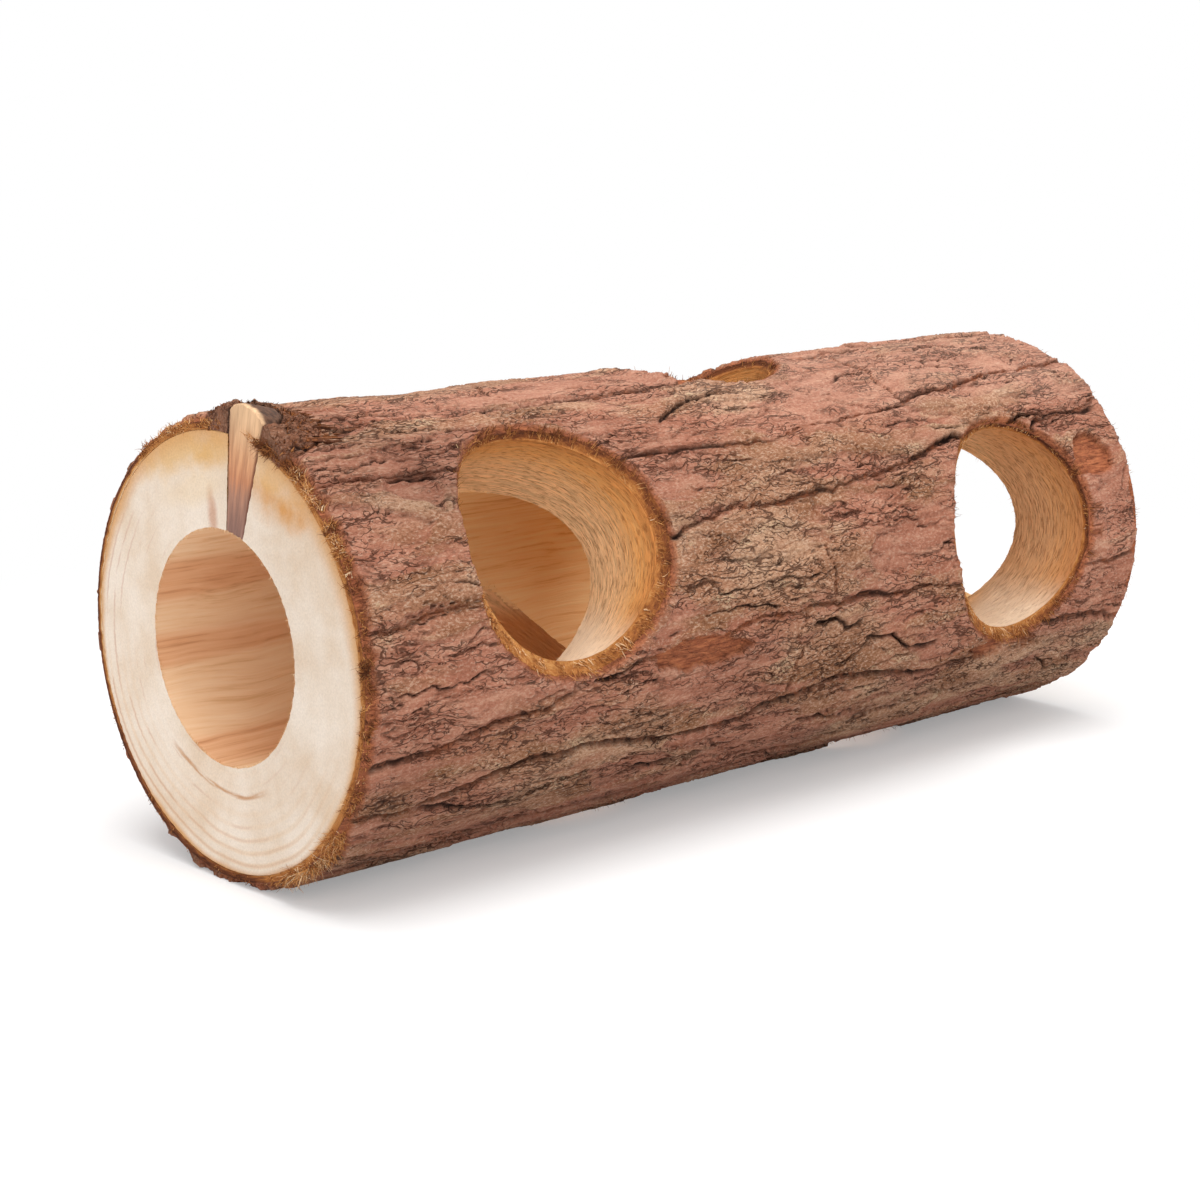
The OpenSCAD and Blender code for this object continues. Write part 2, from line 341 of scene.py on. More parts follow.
class Nodes:
    """A tree of shader nodes, with a short call for each kind."""

    def __init__(self, tree):
        self.tree = tree

    def put(self, value, socket):
        if isinstance(value, bpy.types.NodeSocket):
            self.tree.links.new(value, socket)
        else:
            socket.default_value = value

    def node(self, kind, inputs, **settings):
        """The outputs of a new node, from its inputs by name or number and its settings."""
        added = self.tree.nodes.new("ShaderNode" + kind)
        for name, setting in settings.items():
            setattr(added, name, setting)
        for key, value in inputs.items():
            self.put(value, added.inputs[key])
        return added.outputs

    def math(self, operation, a, b=0.0):
        return self.node("Math", {0: a, 1: b}, operation=operation)[0]

    def times(self, a, b):
        return self.math("MULTIPLY", a, b)

    def plus(self, a, b):
        return self.math("ADD", a, b)

    def minus(self, a, b):
        return self.math("SUBTRACT", a, b)

    def larger(self, a, b):
        return self.math("MAXIMUM", a, b)

    def swing(self, noise, amount):
        """A noise moved about zero and made as strong as an amount."""
        return self.times(self.minus(noise, 0.5), amount)

    def vector(self, operation, a, b=(0, 0, 0)):
        outputs = self.node("VectorMath", {0: a, 1: b}, operation=operation)
        return outputs["Value" if operation in ("LENGTH", "DOT_PRODUCT", "DISTANCE") else "Vector"]

    def place(self):
        """The spot in the log's own frame, in mm."""
        spot = self.node("TexCoord", {})["Object"]
        scaled = self.vector("MULTIPLY", spot, (1 / MM, 1 / MM, 1 / MM))
        return self.vector("SUBTRACT", scaled, tuple(ORIGIN))

    def hypot(self, a, b):
        return self.vector("LENGTH", self.joined(0.0, a, b))

    def split(self, vector):
        return self.node("SeparateXYZ", {0: vector})

    def joined(self, x, y, z):
        return self.node("CombineXYZ", {0: x, 1: y, 2: z})[0]

    def noise(self, vector, detail=3.0, rough=0.5, scale=1.0):
        inputs = {"Vector": vector, "Scale": scale, "Detail": detail, "Roughness": rough}
        return self.node("TexNoise", inputs)["Fac"]

    def streaks(self, place, x, across, detail, rough=0.5):
        """Noise with a scale along the log and another across it."""
        return self.noise(self.vector("MULTIPLY", place, (x, across, across)), detail, rough)

    def warped(self, vector, size, amount):
        """A place moved about by up to an amount, with swirls of a size."""
        swirl = self.node("TexNoise", {"Vector": vector, "Scale": 1 / size, "Detail": 3})["Color"]
        centred = self.vector("SUBTRACT", swirl, (0.5, 0.5, 0.5))
        return self.vector("ADD", vector, self.vector("MULTIPLY", centred, (amount, amount, amount)))

    def spread(self, value, lo, hi, to_lo=0.0, to_hi=1.0):
        """Maps lo..hi softly to to_lo..to_hi."""
        inputs = {0: value, 1: lo, 2: hi, 3: to_lo, 4: to_hi}
        return self.node("MapRange", inputs, interpolation_type="SMOOTHSTEP")[0]

    def mix(self, factor, a, b, blend="MIX"):
        return self.node("Mix", {0: factor, 6: a, 7: b}, data_type="RGBA", blend_type=blend)[2]

    def ramp(self, factor, *stops):
        """Colours along a value, each as its place and its screen colour."""
        node = self.tree.nodes.new("ShaderNodeValToRGB")
        marks = node.color_ramp.elements
        while len(marks) < len(stops):
            marks.new(0.5)
        for mark, (at, *colour) in zip(marks, stops):
            mark.position = at
            mark.color = srgb(*colour)
        self.put(factor, node.inputs[0])
        return node.outputs[0]

    def scaled(self, colour, factor):
        """A colour made lighter or darker by a number."""
        return self.mix(1.0, colour, self.joined(factor, factor, factor), "MULTIPLY")

    def mark(self, name):
        return self.node("Attribute", {}, attribute_name=name)


class Shader(Nodes):
    """The nodes of a new material."""

    def __init__(self, name, roughness, specular):
        self.material = bpy.data.materials.new(name)
        self.material.use_nodes = True
        super().__init__(self.material.node_tree)
        self.surface = self.tree.nodes["Principled BSDF"]
        self.put(roughness, self.surface.inputs["Roughness"])
        self.put(specular, self.surface.inputs["Specular IOR Level"])

    def finish(self, colour, height, depth):
        """Sets the colour and a fine relief of a depth in mm."""
        self.put(colour, self.surface.inputs["Base Color"])
        bump = self.node("Bump", {"Distance": depth * MM, "Height": height})[0]
        self.put(bump, self.surface.inputs["Normal"])
        return self.material


def bark_material():
    s = Shader("bark", roughness=0.9, specular=0.2)
    p = s.place()
    weathered, crevice_shade, bare = s.split(s.mark("tone")["Vector"])
    shade = s.mark("shade")["Fac"]
    streak = s.streaks(p, 0.12, 0.5, 5, 0.6)
    patch = s.streaks(p, 0.05, 0.12, 3)
    fresh = s.ramp(streak, (0.3, 152, 95, 73), (0.5, 171, 113, 90), (0.7, 188, 136, 111))
    old = s.ramp(patch, (0.36, 145, 99, 69), (0.5, 167, 119, 90), (0.66, 184, 143, 113))
    colour = s.mix(weathered, fresh, old)
    # Fine grain: pale dust on the high spots and dark pits between, more of both on old bark
    grain = s.streaks(p, 1.3, 2.4, 3, 0.7)
    amount = s.spread(weathered, 0.0, 1.0, 0.3, 0.52)
    dust = s.times(s.spread(grain, 0.5, 0.66), amount)
    colour = s.mix(dust, colour, srgb(214, 184, 160))
    pits = s.times(s.spread(grain, 0.34, 0.5, 1.0, 0.0), amount)
    colour = s.mix(pits, colour, srgb(84, 41, 18))
    # Crumbs of old bark, pale yellow with dark bits
    crumbs = s.times(s.spread(s.streaks(p, 0.1, 0.24, 2), 0.62, 0.7), weathered)
    bits = s.streaks(p, 1.5, 2.2, 2, 0.6)
    pale = s.times(s.spread(bits, 0.5, 0.6), crumbs)
    dark = s.times(s.spread(bits, 0.38, 0.46, 1.0, 0.0), crumbs)
    colour = s.mix(s.times(pale, 0.55), colour, srgb(208, 184, 148))
    colour = s.mix(s.times(dark, 0.75), colour, srgb(72, 48, 34))
    # Hairline cracks that wind along the grain: dark lines of painted shade under flake edges
    bent = s.warped(p, 7.0, 4.0)
    hair = 0.0
    for along, across in ((0.05, 0.26), (0.13, 0.5), (0.2, 0.8)):
        wave = s.streaks(bent, along, across, 2, 0.5)
        line = s.spread(s.math("ABSOLUTE", s.minus(wave, 0.5)), 0.003, 0.017, 1.0, 0.0)
        hair = s.larger(line, hair)
    hair = s.times(hair, s.spread(s.streaks(p, 0.07, 0.17, 3), 0.41, 0.54))
    colour = s.mix(s.times(hair, 0.8), colour, srgb(62, 28, 12))
    fibre = s.streaks(p, 0.35, 2.2, 4, 0.6)
    torn = s.ramp(fibre, (0.32, 118, 64, 42), (0.48, 156, 90, 60), (0.66, 182, 112, 74))
    # The bark in the light is greyer
    colour = s.mix(s.spread(shade, -0.25, 0.0, 0.22, 0.0), colour, srgb(170, 146, 130))
    colour = s.mix(bare, colour, torn)
    # The shade mark paints shade low on the log and light on its top and far end
    colour = s.scaled(colour, s.minus(1.0, shade))
    # Painted shade in crevices and cracks
    colour = s.mix(crevice_shade, colour, srgb(40, 18, 8))
    relief = s.minus(grain, s.times(hair, 0.6))
    return s.finish(colour, relief, 0.4)


def bast_material():
    """Fibrous inner bark: its shade mark runs from dark rust over gold to the creamy white of fresh wood.
    """
    s = Shader("inner_bark", roughness=0.9, specular=0.15)
    x, y, z = s.split(s.place())
    shade = s.mark("shade")["Fac"]
    # Its fibres lie in layers round the log
    log_r = s.hypot(y, z)
    round_log = s.times(s.plus(y, z), 0.35)
    fibre = s.noise(s.joined(s.times(log_r, 2.4), s.times(x, 0.8), round_log), 5, 0.7)
    uneven = s.plus(shade, s.swing(fibre, 1.1))
    colour = s.ramp(
        uneven, (0.0, 78, 42, 26), (0.25, 124, 70, 40), (0.5, 176, 112, 58),
        (0.75, 206, 150, 90), (1.0, 232, 206, 174))
    return s.finish(colour, fibre, 0.6)


def fibre_material():
    s = Shader("torn_fibre", roughness=0.8, specular=0.2)
    shade = s.mark("shade")["Fac"]
    colour = s.ramp(
        shade, (0.0, 84, 46, 26), (0.35, 148, 88, 46),
        (0.7, 204, 146, 84), (1.0, 232, 204, 166))
    return s.finish(colour, s.noise(s.place(), 2, 0.5, 4.0), 0.05)


# Stains on the near end: y and z of the middle, lean in degrees, half length and width, strength, colour.
# They lie beside the knot on its right and left, above the bore, along the bark at the top, and low down.
STAINS = [
    (-17.0, 26.5, 22, 12, 4.6, 0.95, (208, 148, 82)),
    (-15.0, 31.0, 24, 9, 4.0, 0.6, (222, 178, 120)),
    (1.6, 23.0, 84, 5.5, 1.6, 0.7, (188, 136, 108)),
    (11.0, 33.0, -18, 16, 5.0, 0.8, (216, 172, 110)),
    (-1.5, 34.0, 0, 9, 5.0, 0.75, (212, 164, 98)),
    (6.0, 27.0, -14, 14, 3.0, 0.35, (222, 190, 142)),
    (-12.0, -9.0, 60, 3, 2, 0.35, (190, 150, 116)),
]


def end_stain(s, flat, clouds, y, z, lean, half_l, half_w, strength):
    """How strong a stain is at a spot of the end face."""
    level, up = math.cos(math.radians(lean)), math.sin(math.radians(lean))
    moved = s.vector("SUBTRACT", flat, (0, y, z))
    along = s.math("DIVIDE", s.vector("DOT_PRODUCT", moved, (0, level, up)), half_l)
    across = s.math("DIVIDE", s.vector("DOT_PRODUCT", moved, (0, -up, level)), half_w)
    away = s.hypot(along, across)
    return s.spread(s.plus(away, s.swing(clouds, 2.6)), 0.1, 1.1, strength, 0.0)


def end_grain_material():
    s = Shader("end_grain", roughness=0.8, specular=0.25)
    p = s.place()
    x, y, z = s.split(p)
    flat = s.joined(0.0, y, z)
    ray = s.vector("NORMALIZE", flat)
    log_r = s.vector("LENGTH", flat)

    def facing(way, lo, hi, to_lo=0.0, to_hi=1.0):
        return s.spread(s.vector("DOT_PRODUCT", ray, way), lo, hi, to_lo, to_hi)

    wobble = s.swing(s.streaks(flat, 0, 0.04, 2), 3.0)
    ring_r = s.plus(log_r, wobble)
    clouds = s.streaks(flat, 0, 0.08, 4, 0.6)
    colour = s.ramp(clouds, (0.35, 232, 218, 203), (0.5, 226, 209, 191), (0.65, 219, 197, 174))
    # Growth rings: soft tan bands below, thin broken reddish lines at the left
    wave = s.math("SINE", s.times(ring_r, 2.9))
    below = facing((0, 0.2, -0.98), 0.0, 0.95)
    left = facing((0, 0.94, -0.34), 0.1, 0.9)
    along = s.joined(s.times(ring_r, 0.7), s.times(y, 0.09), s.times(z, 0.09))
    dashes = s.plus(s.noise(along, 3), s.spread(log_r, 24, 37, -0.06, 0.12))
    outer = s.spread(log_r, 24, 37, 0.05, 0.45)
    band = s.times(s.spread(wave, -0.3, 1.0), s.times(below, outer))
    colour = s.mix(band, colour, srgb(220, 182, 138))
    line = s.times(s.spread(wave, 0.6, 1.0), s.spread(dashes, 0.5, 0.6))
    line = s.times(line, s.larger(left, s.times(below, 0.5)))
    colour = s.mix(s.times(line, 0.42), colour, srgb(190, 140, 118))
    # One brown ring close below the bore
    off = s.math("ABSOLUTE", s.minus(ring_r, BORE_R + 3.6))
    low = facing((0, 0.12, -1.0), 0.78, 0.94)
    arc = s.times(s.spread(off, 0.15, 0.7, 1.0, 0.0), s.times(low, s.spread(dashes, 0.34, 0.48)))
    colour = s.mix(s.times(arc, 0.8), colour, srgb(186, 132, 84))
    # The stains are the near end's, and only faint at the far end
    near_end = s.spread(x, 40, 60, 1.0, 0.2)
    for *stain, tint in STAINS:
        shown = s.times(end_stain(s, flat, clouds, *stain), near_end)
        colour = s.mix(shown, colour, srgb(*tint))
    top = facing((0, -0.3, 0.95), -0.5, 0.9, 0.8, 2.4)
    depth = s.minus(WOOD_R + 0.4, s.plus(log_r, s.times(wobble, 0.8)))
    rim = s.spread(s.math("DIVIDE", depth, top), 0.0, 2.0, 0.85, 0.0)
    colour = s.mix(rim, colour, srgb(206, 150, 88))
    speck = s.streaks(p, 2.6, 2.6, 3, 0.6)
    colour = s.scaled(colour, s.spread(speck, 0.3, 0.7, 0.93, 1.04))
    colour = s.scaled(colour, facing((0, -1, 0), -0.2, 0.8, 1.0, 0.93))
    return s.finish(colour, speck, 0.12)


def bore_material():
    s = Shader("bore_wall", roughness=0.75, specular=0.25)
    p = s.place()
    x, y, z = s.split(p)
    bend = s.swing(s.streaks(p, 0.03, 0.05, 2), 5.0)
    line = s.joined(s.times(x, 0.035), s.plus(y, bend), s.plus(z, bend))
    grain = s.noise(line, 5, 0.6)
    band = s.streaks(p, 0.006, 0.09, 2)
    pale = s.ramp(grain, (0.3, 212, 168, 124), (0.44, 230, 192, 152), (0.66, 236, 204, 168))
    red = s.ramp(grain, (0.3, 190, 136, 94), (0.44, 216, 164, 122), (0.66, 226, 180, 140))
    colour = s.mix(s.spread(band, 0.5, 0.62), pale, red)
    # Painted light: the bore is painted paler deeper in from the near end
    deep_light = s.ramp(grain, (0.3, 224, 166, 104), (0.44, 250, 204, 144), (0.66, 254, 220, 164))
    colour = s.mix(s.spread(x, 24, 62, 0.0, 0.85), colour, deep_light)
    return s.finish(colour, grain, 0.18)


def window_material():
    s = Shader("window_wall", roughness=0.8, specular=0.2)
    p = s.place()
    x, y, z = s.split(p)
    log_r = s.hypot(y, z)
    # Streaks follow the growth rings, so they run level with the bark
    round_log = s.times(s.plus(y, z), 0.16)
    streak = s.noise(s.joined(s.times(log_r, 2.6), s.times(x, 0.16), round_log), 5, 0.7)
    pores = s.noise(s.joined(s.times(log_r, 3.8), s.times(x, 0.7), s.times(round_log, 2.4)), 4, 0.62)
    uneven = s.plus(log_r, s.swing(streak, 9.0))
    colour = s.ramp(
        s.spread(uneven, BORE_R + 2, WOOD_R + 0.5), (0.0, 250, 206, 156), (0.4, 246, 196, 142),
        (0.68, 238, 182, 122), (0.88, 222, 158, 92), (1.0, 204, 136, 74))
    colour = s.scaled(colour, s.spread(streak, 0.3, 0.7, 0.72, 1.14))
    pit = s.times(s.spread(pores, 0.5, 0.66), 0.55)
    # Painted light: the floor of each front window is lit to a pale cream. Painted shade: the far window
    # is browner.
    in_front = s.spread(y, -20, -15, 1.0, 0.0)
    to_far = s.spread(x, 90, 110)
    floor_z = s.spread(to_far, 0.0, 1.0, -4.0, -14.0)
    lit_floor = s.spread(s.minus(z, floor_z), 0.0, 9.0, 0.85, 0.0)
    far_window_shade = s.times(s.times(to_far, in_front), 0.45)
    colour = s.mix(far_window_shade, colour, srgb(202, 144, 102))
    colour = s.mix(s.times(lit_floor, in_front), colour, srgb(252, 230, 202))
    open_pit = s.times(pit, s.minus(1.0, s.times(lit_floor, 0.7)))
    colour = s.mix(open_pit, colour, srgb(142, 80, 34))
    # Painted shade: the walls of the openings underneath, and low walls between them, are painted darker
    # and oranger
    between = s.times(s.spread(x, 54, 58), s.spread(x, 154, 158, 1.0, 0.0))
    beside = s.times(s.spread(z, -10, -4, 1.0, 0.0), s.spread(y, -20, -17))
    under = s.larger(s.spread(z, -24, -18, 1.0, 0.0), s.times(beside, between))
    colour = s.mix(s.times(under, 0.8), colour, srgb(206, 124, 56))
    height = s.minus(streak, s.times(pit, 0.35))
    return s.finish(colour, height, 0.5)


def knot_material():
    s = Shader("knot_wood", roughness=0.7, specular=0.3)
    p = s.place()
    lifted = s.vector("SUBTRACT", p, tuple(KNOT_FOOT))
    along = s.vector("DOT_PRODUCT", lifted, tuple(KNOT_OUT))
    across = s.vector("DOT_PRODUCT", lifted, tuple(KNOT_ACROSS))
    x = s.split(lifted)[0]
    streak = s.noise(s.joined(s.times(along, 0.1), across, x), 4, 0.6)
    uneven = s.plus(along, s.swing(streak, 7.0))
    colour = s.ramp(
        s.spread(uneven, BORE_R, KNOT_TOP), (0.0, 140, 104, 92), (0.25, 168, 122, 100),
        (0.45, 190, 128, 92), (0.7, 204, 150, 110), (1.0, 220, 180, 140))
    colour = s.scaled(colour, s.spread(streak, 0.3, 0.7, 0.78, 1.12))
    half = s.spread(along, BORE_R, KNOT_TOP, KNOT_ROOT_R, KNOT_R)
    edge = s.spread(s.math("DIVIDE", s.math("ABSOLUTE", across), half), 0.78, 0.97)
    edge = s.times(edge, s.spread(along, LOG_R - 1, LOG_R + 2, 0.85, 0.15))
    colour = s.mix(edge, colour, srgb(104, 58, 40))
    # Behind the sawn face the stub still has its dark skin
    skin = s.spread(x, 0.4 - KNOT_X, 1.3 - KNOT_X, 0.0, 0.95)
    colour = s.mix(skin, colour, s.ramp(streak, (0.4, 58, 34, 26), (0.6, 98, 64, 48)))
    return s.finish(colour, streak, 0.3)


# The outer bark

# Its grid, the thickness of a flake and half the width of a crack
STEP_X = 0.4
STEP_ARC = 0.28
END_INSET = 0.1
FIRST_ANGLE = math.radians(-130)
FLAKE = 0.2
CRACK_W = 0.7

# Deep cracks inside the plates, as places along the log and angles in degrees
CRACKS = [
    [(14, -34), (25, -37), (30, -40), (38, -40), (49, -36.5), (55, -37)],
    [(60, -42.5), (70, -41.5), (82, -40.5), (88, -38)],
    [(92, -42), (97, -44), (104, -37), (112, -36), (118, -41)],
    [(98, -5), (106, -4), (112, -9), (118, -8)],
    [(108, -20), (118, -13), (124, -13), (130, -19), (140, -19)],
    [(130, 85), (140, 85), (148, 83)],
    [(158, 78), (168, 82), (188, 76)],
    [(162, 42), (175, 43), (198, 42)],
    [(14, 50), (27, 48)],
    [(6, 80), (14, 77), (22, 78), (30, 76)],
    [(6, 73), (15, 71), (24, 73), (34, 71)],
    [(78, 57), (88, 64), (103, 69)],
    [(130, 67), (138, 70), (148, 67)],
    [(176, -35), (182, -42), (192, -44)],
]

# Patches of bark: place, angle in degrees, half length, half width, more weathered, darker
PATCHES = [
    (22, -8, 22, 8, -0.8, 0.05), (75, 47, 14, 7, -0.7, 0), (150, 22, 14, 9, -0.8, 0),
    (122, 57, 16, 6, -0.7, 0), (188, 20, 12, 10, -0.9, 0), (190, -13, 10, 6, -0.9, 0),
    (75, -10, 18, 4, -0.8, 0.1), (150, 70, 40, 12, -0.5, 0), (95, 25, 20, 12, 0.9, 0),
    (60, -22, 20, 5, 0.9, 0), (100, 62, 14, 7, 0.7, 0), (112, -15, 18, 8, 0.8, 0),
    (150, -42, 22, 7, 0.8, 0), (25, 54, 20, 12, -0.3, 0.22), (8, 75, 12, 8, 0.3, 0.35),
]


def off_line(field):
    """Distance in mm from the nearest zero line of a field on the bark's grid."""
    return np.abs(field) / (np.hypot(*np.gradient(field, STEP_X, STEP_ARC)) + 1e-3)


def plate_map(rows, cols):
    """The CAD's plate at each spot of the unrolled log, or -1 in a gap, and how far out it lies."""
    points, faces, owner = [], [], []
    for k, name in enumerate(PLATES):
        base = len(points)
        points.extend(Vector(p) for p in log_points(name))
        for face in nodes[name].data.polygons:
            faces.append([base + v for v in face.vertices])
            owner.append(k)
    tree = BVHTree.FromPolygons(points, faces)
    found = np.full((rows, cols), -1)
    out_at = np.zeros((rows, cols))
    angles = FIRST_ANGLE + full_turn(cols)
    outward = [Vector((0, -math.cos(a), math.sin(a))) for a in angles]
    for i in range(rows):
        middle = Vector((i / (rows - 1) * LENGTH, 0, 0))
        for j, out in enumerate(outward):
            hit = tree.ray_cast(middle + out * 2 * LOG_R, -out, 1.4 * LOG_R)
            if hit[2] is not None:
                found[i, j] = owner[hit[2]]
                out_at[i, j] = math.hypot(hit[0].y, hit[0].z)
    return found, out_at


def neighbours(field):
    """The field moved by one grid step each way, with the step's length."""
    yield np.roll(field, 1, axis=1), STEP_ARC
    yield np.roll(field, -1, axis=1), STEP_ARC
    yield np.concatenate([field[:1], field[:-1]]), STEP_X
    yield np.concatenate([field[1:], field[-1:]]), STEP_X


def grown(plate, passes):
    """Plates grown into the gaps, and how far from its plate each spot of a gap lies."""
    away = np.where(plate < 0, LENGTH, 0.0)
    for _ in range(passes):
        for (near, step), (far, _) in zip(list(neighbours(plate)), list(neighbours(away))):
            better = (near >= 0) & (far + step < away - 1e-6)
            plate = np.where(better, near, plate)
            away = np.where(better, far + step, away)
    return plate, away


def from_border(plate, passes):
    """Distance of each spot from the border between two plates."""
    away = np.full(plate.shape, 9.0)
    for near, _ in neighbours(plate):
        away[near != plate] = 0
    for _ in range(passes):
        for near, step in list(neighbours(away)):
            away = np.minimum(away, near + step)
    return blur(away, 1, 1)


class Tear:
    """How the bark is torn round a window: how far on the whole, how much more on the far side and
    low on the near side, and how much darker the torn bast is there."""

    def __init__(self, torn, far_side, low_near, darker):
        self.torn = torn
        self.far_side = far_side
        self.low_near = low_near
        self.darker = darker

    def width(self, turn):
        low_near = self.low_near * hump(3.85, 0.6, np.mod(turn, 2 * math.pi))
        high = 0.6 * smooth(0.2, 1.0, np.sin(turn))
        return self.torn + self.far_side * np.cos(turn) + low_near - high


TEARS = [
    Tear(2.1, 1.2, 2.6, 0.0), Tear(1.9, -1.3, 0.0, 0.16), Tear(1.2, 0.5, 0.0, 0.1),
    Tear(1.4, 0.5, 0.0, 0.1), Tear(1.4, 0.5, 0.0, 0.1),
]


def window_rim(number, turn):
    """Radius of the torn bark round a window."""
    return WINDOWS[number].radius + TEARS[number].width(turn) + 0.4 * ragged(turn, 40 + number)


def window_flare(number, turn):
    """How far the wood's own edge is broken out round a window."""
    return 0.35 * TEARS[number].width(turn) + 0.4 * smooth(0.2, 1.0, np.sin(turn))


def lip_tone(number, turn, share):
    """How pale the torn bast is from wood to bark: gold, then rust, with painted shade darkest at the
    upper right.
    """
    far_side = smooth(-0.5, 0.7, np.cos(turn - 0.4))
    upper_right_shade = hump(1.15, 0.7, np.mod(turn, 2 * math.pi))
    drop = 0.1 + 0.16 * far_side + 0.18 * upper_right_shade + TEARS[number].darker
    return 0.62 - 0.1 * far_side - drop * smooth(0.0, 0.8, share)


def knot_rim(turn):
    return COLLAR_R - 0.9 + 0.5 * ragged(turn, 61)


def near_tear(angle):
    """How far the saw has torn the bark back from the near end: only on the front."""
    torn = 1.3 + 1.2 * ragged(angle, 71, 90)
    clump = 3.0 * hump(-52, 10, np.degrees(angle))
    front = between(-86, -70, 66, 80, np.degrees(angle))
    return np.maximum(torn, 0.2) * front + clump - 0.8 * (1 - front)


def far_tear(angle):
    return 0.5 + 0.8 * ragged(angle, 73, 40)


class Bark:
    """The unrolled bark on a fine grid: which plate, how high and how coloured each spot is."""

    def __init__(self):
        rows = round(LENGTH / STEP_X) + 1
        cols = round(GIRTH / STEP_ARC)
        self.shape = rows, cols
        self.x, turn = grid(END_INSET, LENGTH - END_INSET, rows, cols)
        self.angle = FIRST_ANGLE + turn
        self.cut_openings()
        self.lay_plates()
        self.raise_flakes()
        self.tear_edges()
        self.colour()

    def cut_openings(self):
        """Drops the cells inside the windows and moves their edge points onto the torn rims."""
        self.rim = np.full(self.shape, LENGTH)
        rims = [(w, lambda turn, k=k: window_rim(k, turn)) for k, w in enumerate(WINDOWS)]
        self.inside = np.zeros(self.shape, bool)
        for hole, rim in rims + [(KNOT, knot_rim)]:
            away, turn = hole.polar(self.x, self.angle, BASE_R)
            edge = rim(turn)
            inside = away < edge
            on_x, on_angle = hole.place(edge, turn, BASE_R)
            whole_turns = np.round((self.angle - on_angle) / (2 * math.pi)) * 2 * math.pi
            self.x = np.where(inside, np.clip(on_x, END_INSET, LENGTH - END_INSET), self.x)
            self.angle = np.where(inside, on_angle + whole_turns, self.angle)
            self.inside |= inside
            self.rim = np.minimum(self.rim, np.where(inside, 0, away - edge))

    def lay_plates(self):
        """Finds each spot's plate, with the CAD's borders made to wander."""
        rows, cols = self.shape
        arc = self.angle * LOG_R
        wave = noise_at(self.x, arc)
        self.bent_x = self.x + 1.8 * wave(13, 7, 1) + 0.9 * wave(4.5, 3.4, 2)
        self.bent_arc = arc + 0.9 * wave(10, 7, 3) + 0.5 * wave(3.6, 2.8, 4)
        self.bent_arc = self.bent_arc + 0.45 * wave(1.9, 1.4, 5) + 0.7 * wave(24, 10, 6)
        shown, shown_r = plate_map(rows, cols)
        i = np.clip(np.round(self.bent_x / LENGTH * (rows - 1)).astype(int), 0, rows - 1)
        j = np.round((self.bent_arc / LOG_R - FIRST_ANGLE) / (2 * math.pi) * cols).astype(int) % cols
        self.plate, self.gap = grown(shown[i, j], 30)
        strips = [name.rsplit("_", 1)[0] for name in PLATES]
        strip = np.array([strips.index(s) for s in strips])[self.plate]
        self.fissure_off = from_border(strip, 10)
        self.crack_off = from_border(self.plate, 10)
        top = [np.hypot(*log_points(name)[:, 1:].T).max() for name in PLATES]
        full = np.array(top)[self.plate]
        self.thick = full - BASE_R
        self.pan = blur(np.where(shown_r[i, j] > 0, full - shown_r[i, j], 0), 1, 1)
        self.in_pan = smooth(0.1, 0.5, self.pan)

    def raise_flakes(self):
        """Height over the inner bark: thin flakes in layers, cracks and fine grain."""
        x, arc = self.bent_x, self.bent_arc
        wave = noise_at(x, arc)
        layers = 1.6 + 2.1 * fractal(x, arc, 60, 8.5, 4, 10)
        layers = layers + 0.5 * wave(70, 30, 17)
        self.lost = np.clip(layers, 0, 4)
        level = np.floor(self.lost)
        slope = np.hypot(*np.gradient(layers, STEP_X, STEP_ARC)) + 0.02
        past = (self.lost - level) / slope
        ahead = (level + 1 - self.lost) / slope
        fallen = np.maximum(level - 1 + smooth(0, 0.5, past), 0)
        lip = 0.12 * (1 - smooth(0.0, 0.8, ahead)) * (self.lost < 4)
        foot_mask = smooth(-0.2, 0.6, wave(20, 10, 18))
        foot = 0.34 * foot_mask * smooth(0, 0.3, past) * (1 - smooth(0.35, 0.9, past)) * (self.lost > 1)
        height = self.thick - self.pan - FLAKE * fallen * (1 - 0.5 * self.in_pan) + lip - foot

        for k, (size_x, size_arc) in enumerate(((46, 5.5), (30, 4.0))):
            vein = wave(size_x, size_arc, 20 + 3 * k) + 0.3 * wave(10, 2.6, 21 + 3 * k)
            vein_mask = smooth(-0.05, 0.55, wave(36, 12, 22 + 3 * k))
            height -= 0.5 * vein_mask * (1 - smooth(0.05, 0.42, off_line(vein)))
        cross = wave(9, 17, 29) + 0.5 * wave(3.5, 5, 30)
        cross_mask = smooth(0.45, 0.75, wave(16, 9, 31))
        height -= 0.4 * cross_mask * (1 - smooth(0.05, 0.38, off_line(cross)))

        self.deep = np.zeros(self.shape)
        for line in CRACKS:
            along = [p[0] for p in line]
            middle = np.interp(x, along, np.radians([p[1] for p in line])) * LOG_R
            off = np.abs(arc - middle)
            reach = between(along[0], along[0] + 4, along[-1] - 4, along[-1], x)
            self.deep = np.maximum(self.deep, reach * (1 - smooth(0.12, CRACK_W, off)))
        self.lower = 1 - smooth(-34, -10, np.degrees(self.angle))
        gaping = wave(34, 12, 32) + 0.6 * wave(8, 5, 42) + 0.8 * self.lower
        gaping = smooth(-0.5, 0.7, gaping)
        fissure = (1 - smooth(0.05, 0.3 + 0.45 * gaping, self.fissure_off)) * (0.35 + 0.65 * gaping)
        split = smooth(-0.2, 0.5, wave(9, 6, 33))
        crack = 0.6 * split * (1 - smooth(0.05, 0.42, self.crack_off))
        self.deep = np.maximum(self.deep, np.maximum(fissure, crack))

        fine = 0.06 * wave(5, 0.9, 34) + 0.08 * wave(1.9, 1.3, 35)
        self.height = (height + fine) * (1 - self.deep)

    def tear_edges(self):
        """Thins the bark out at scars, windows and ends, and rests the log on its flat."""
        arc = self.angle * LOG_R
        wave = noise_at(self.x, arc)
        fibre = 0.16 + 0.12 * wave(5, 0.9, 36)
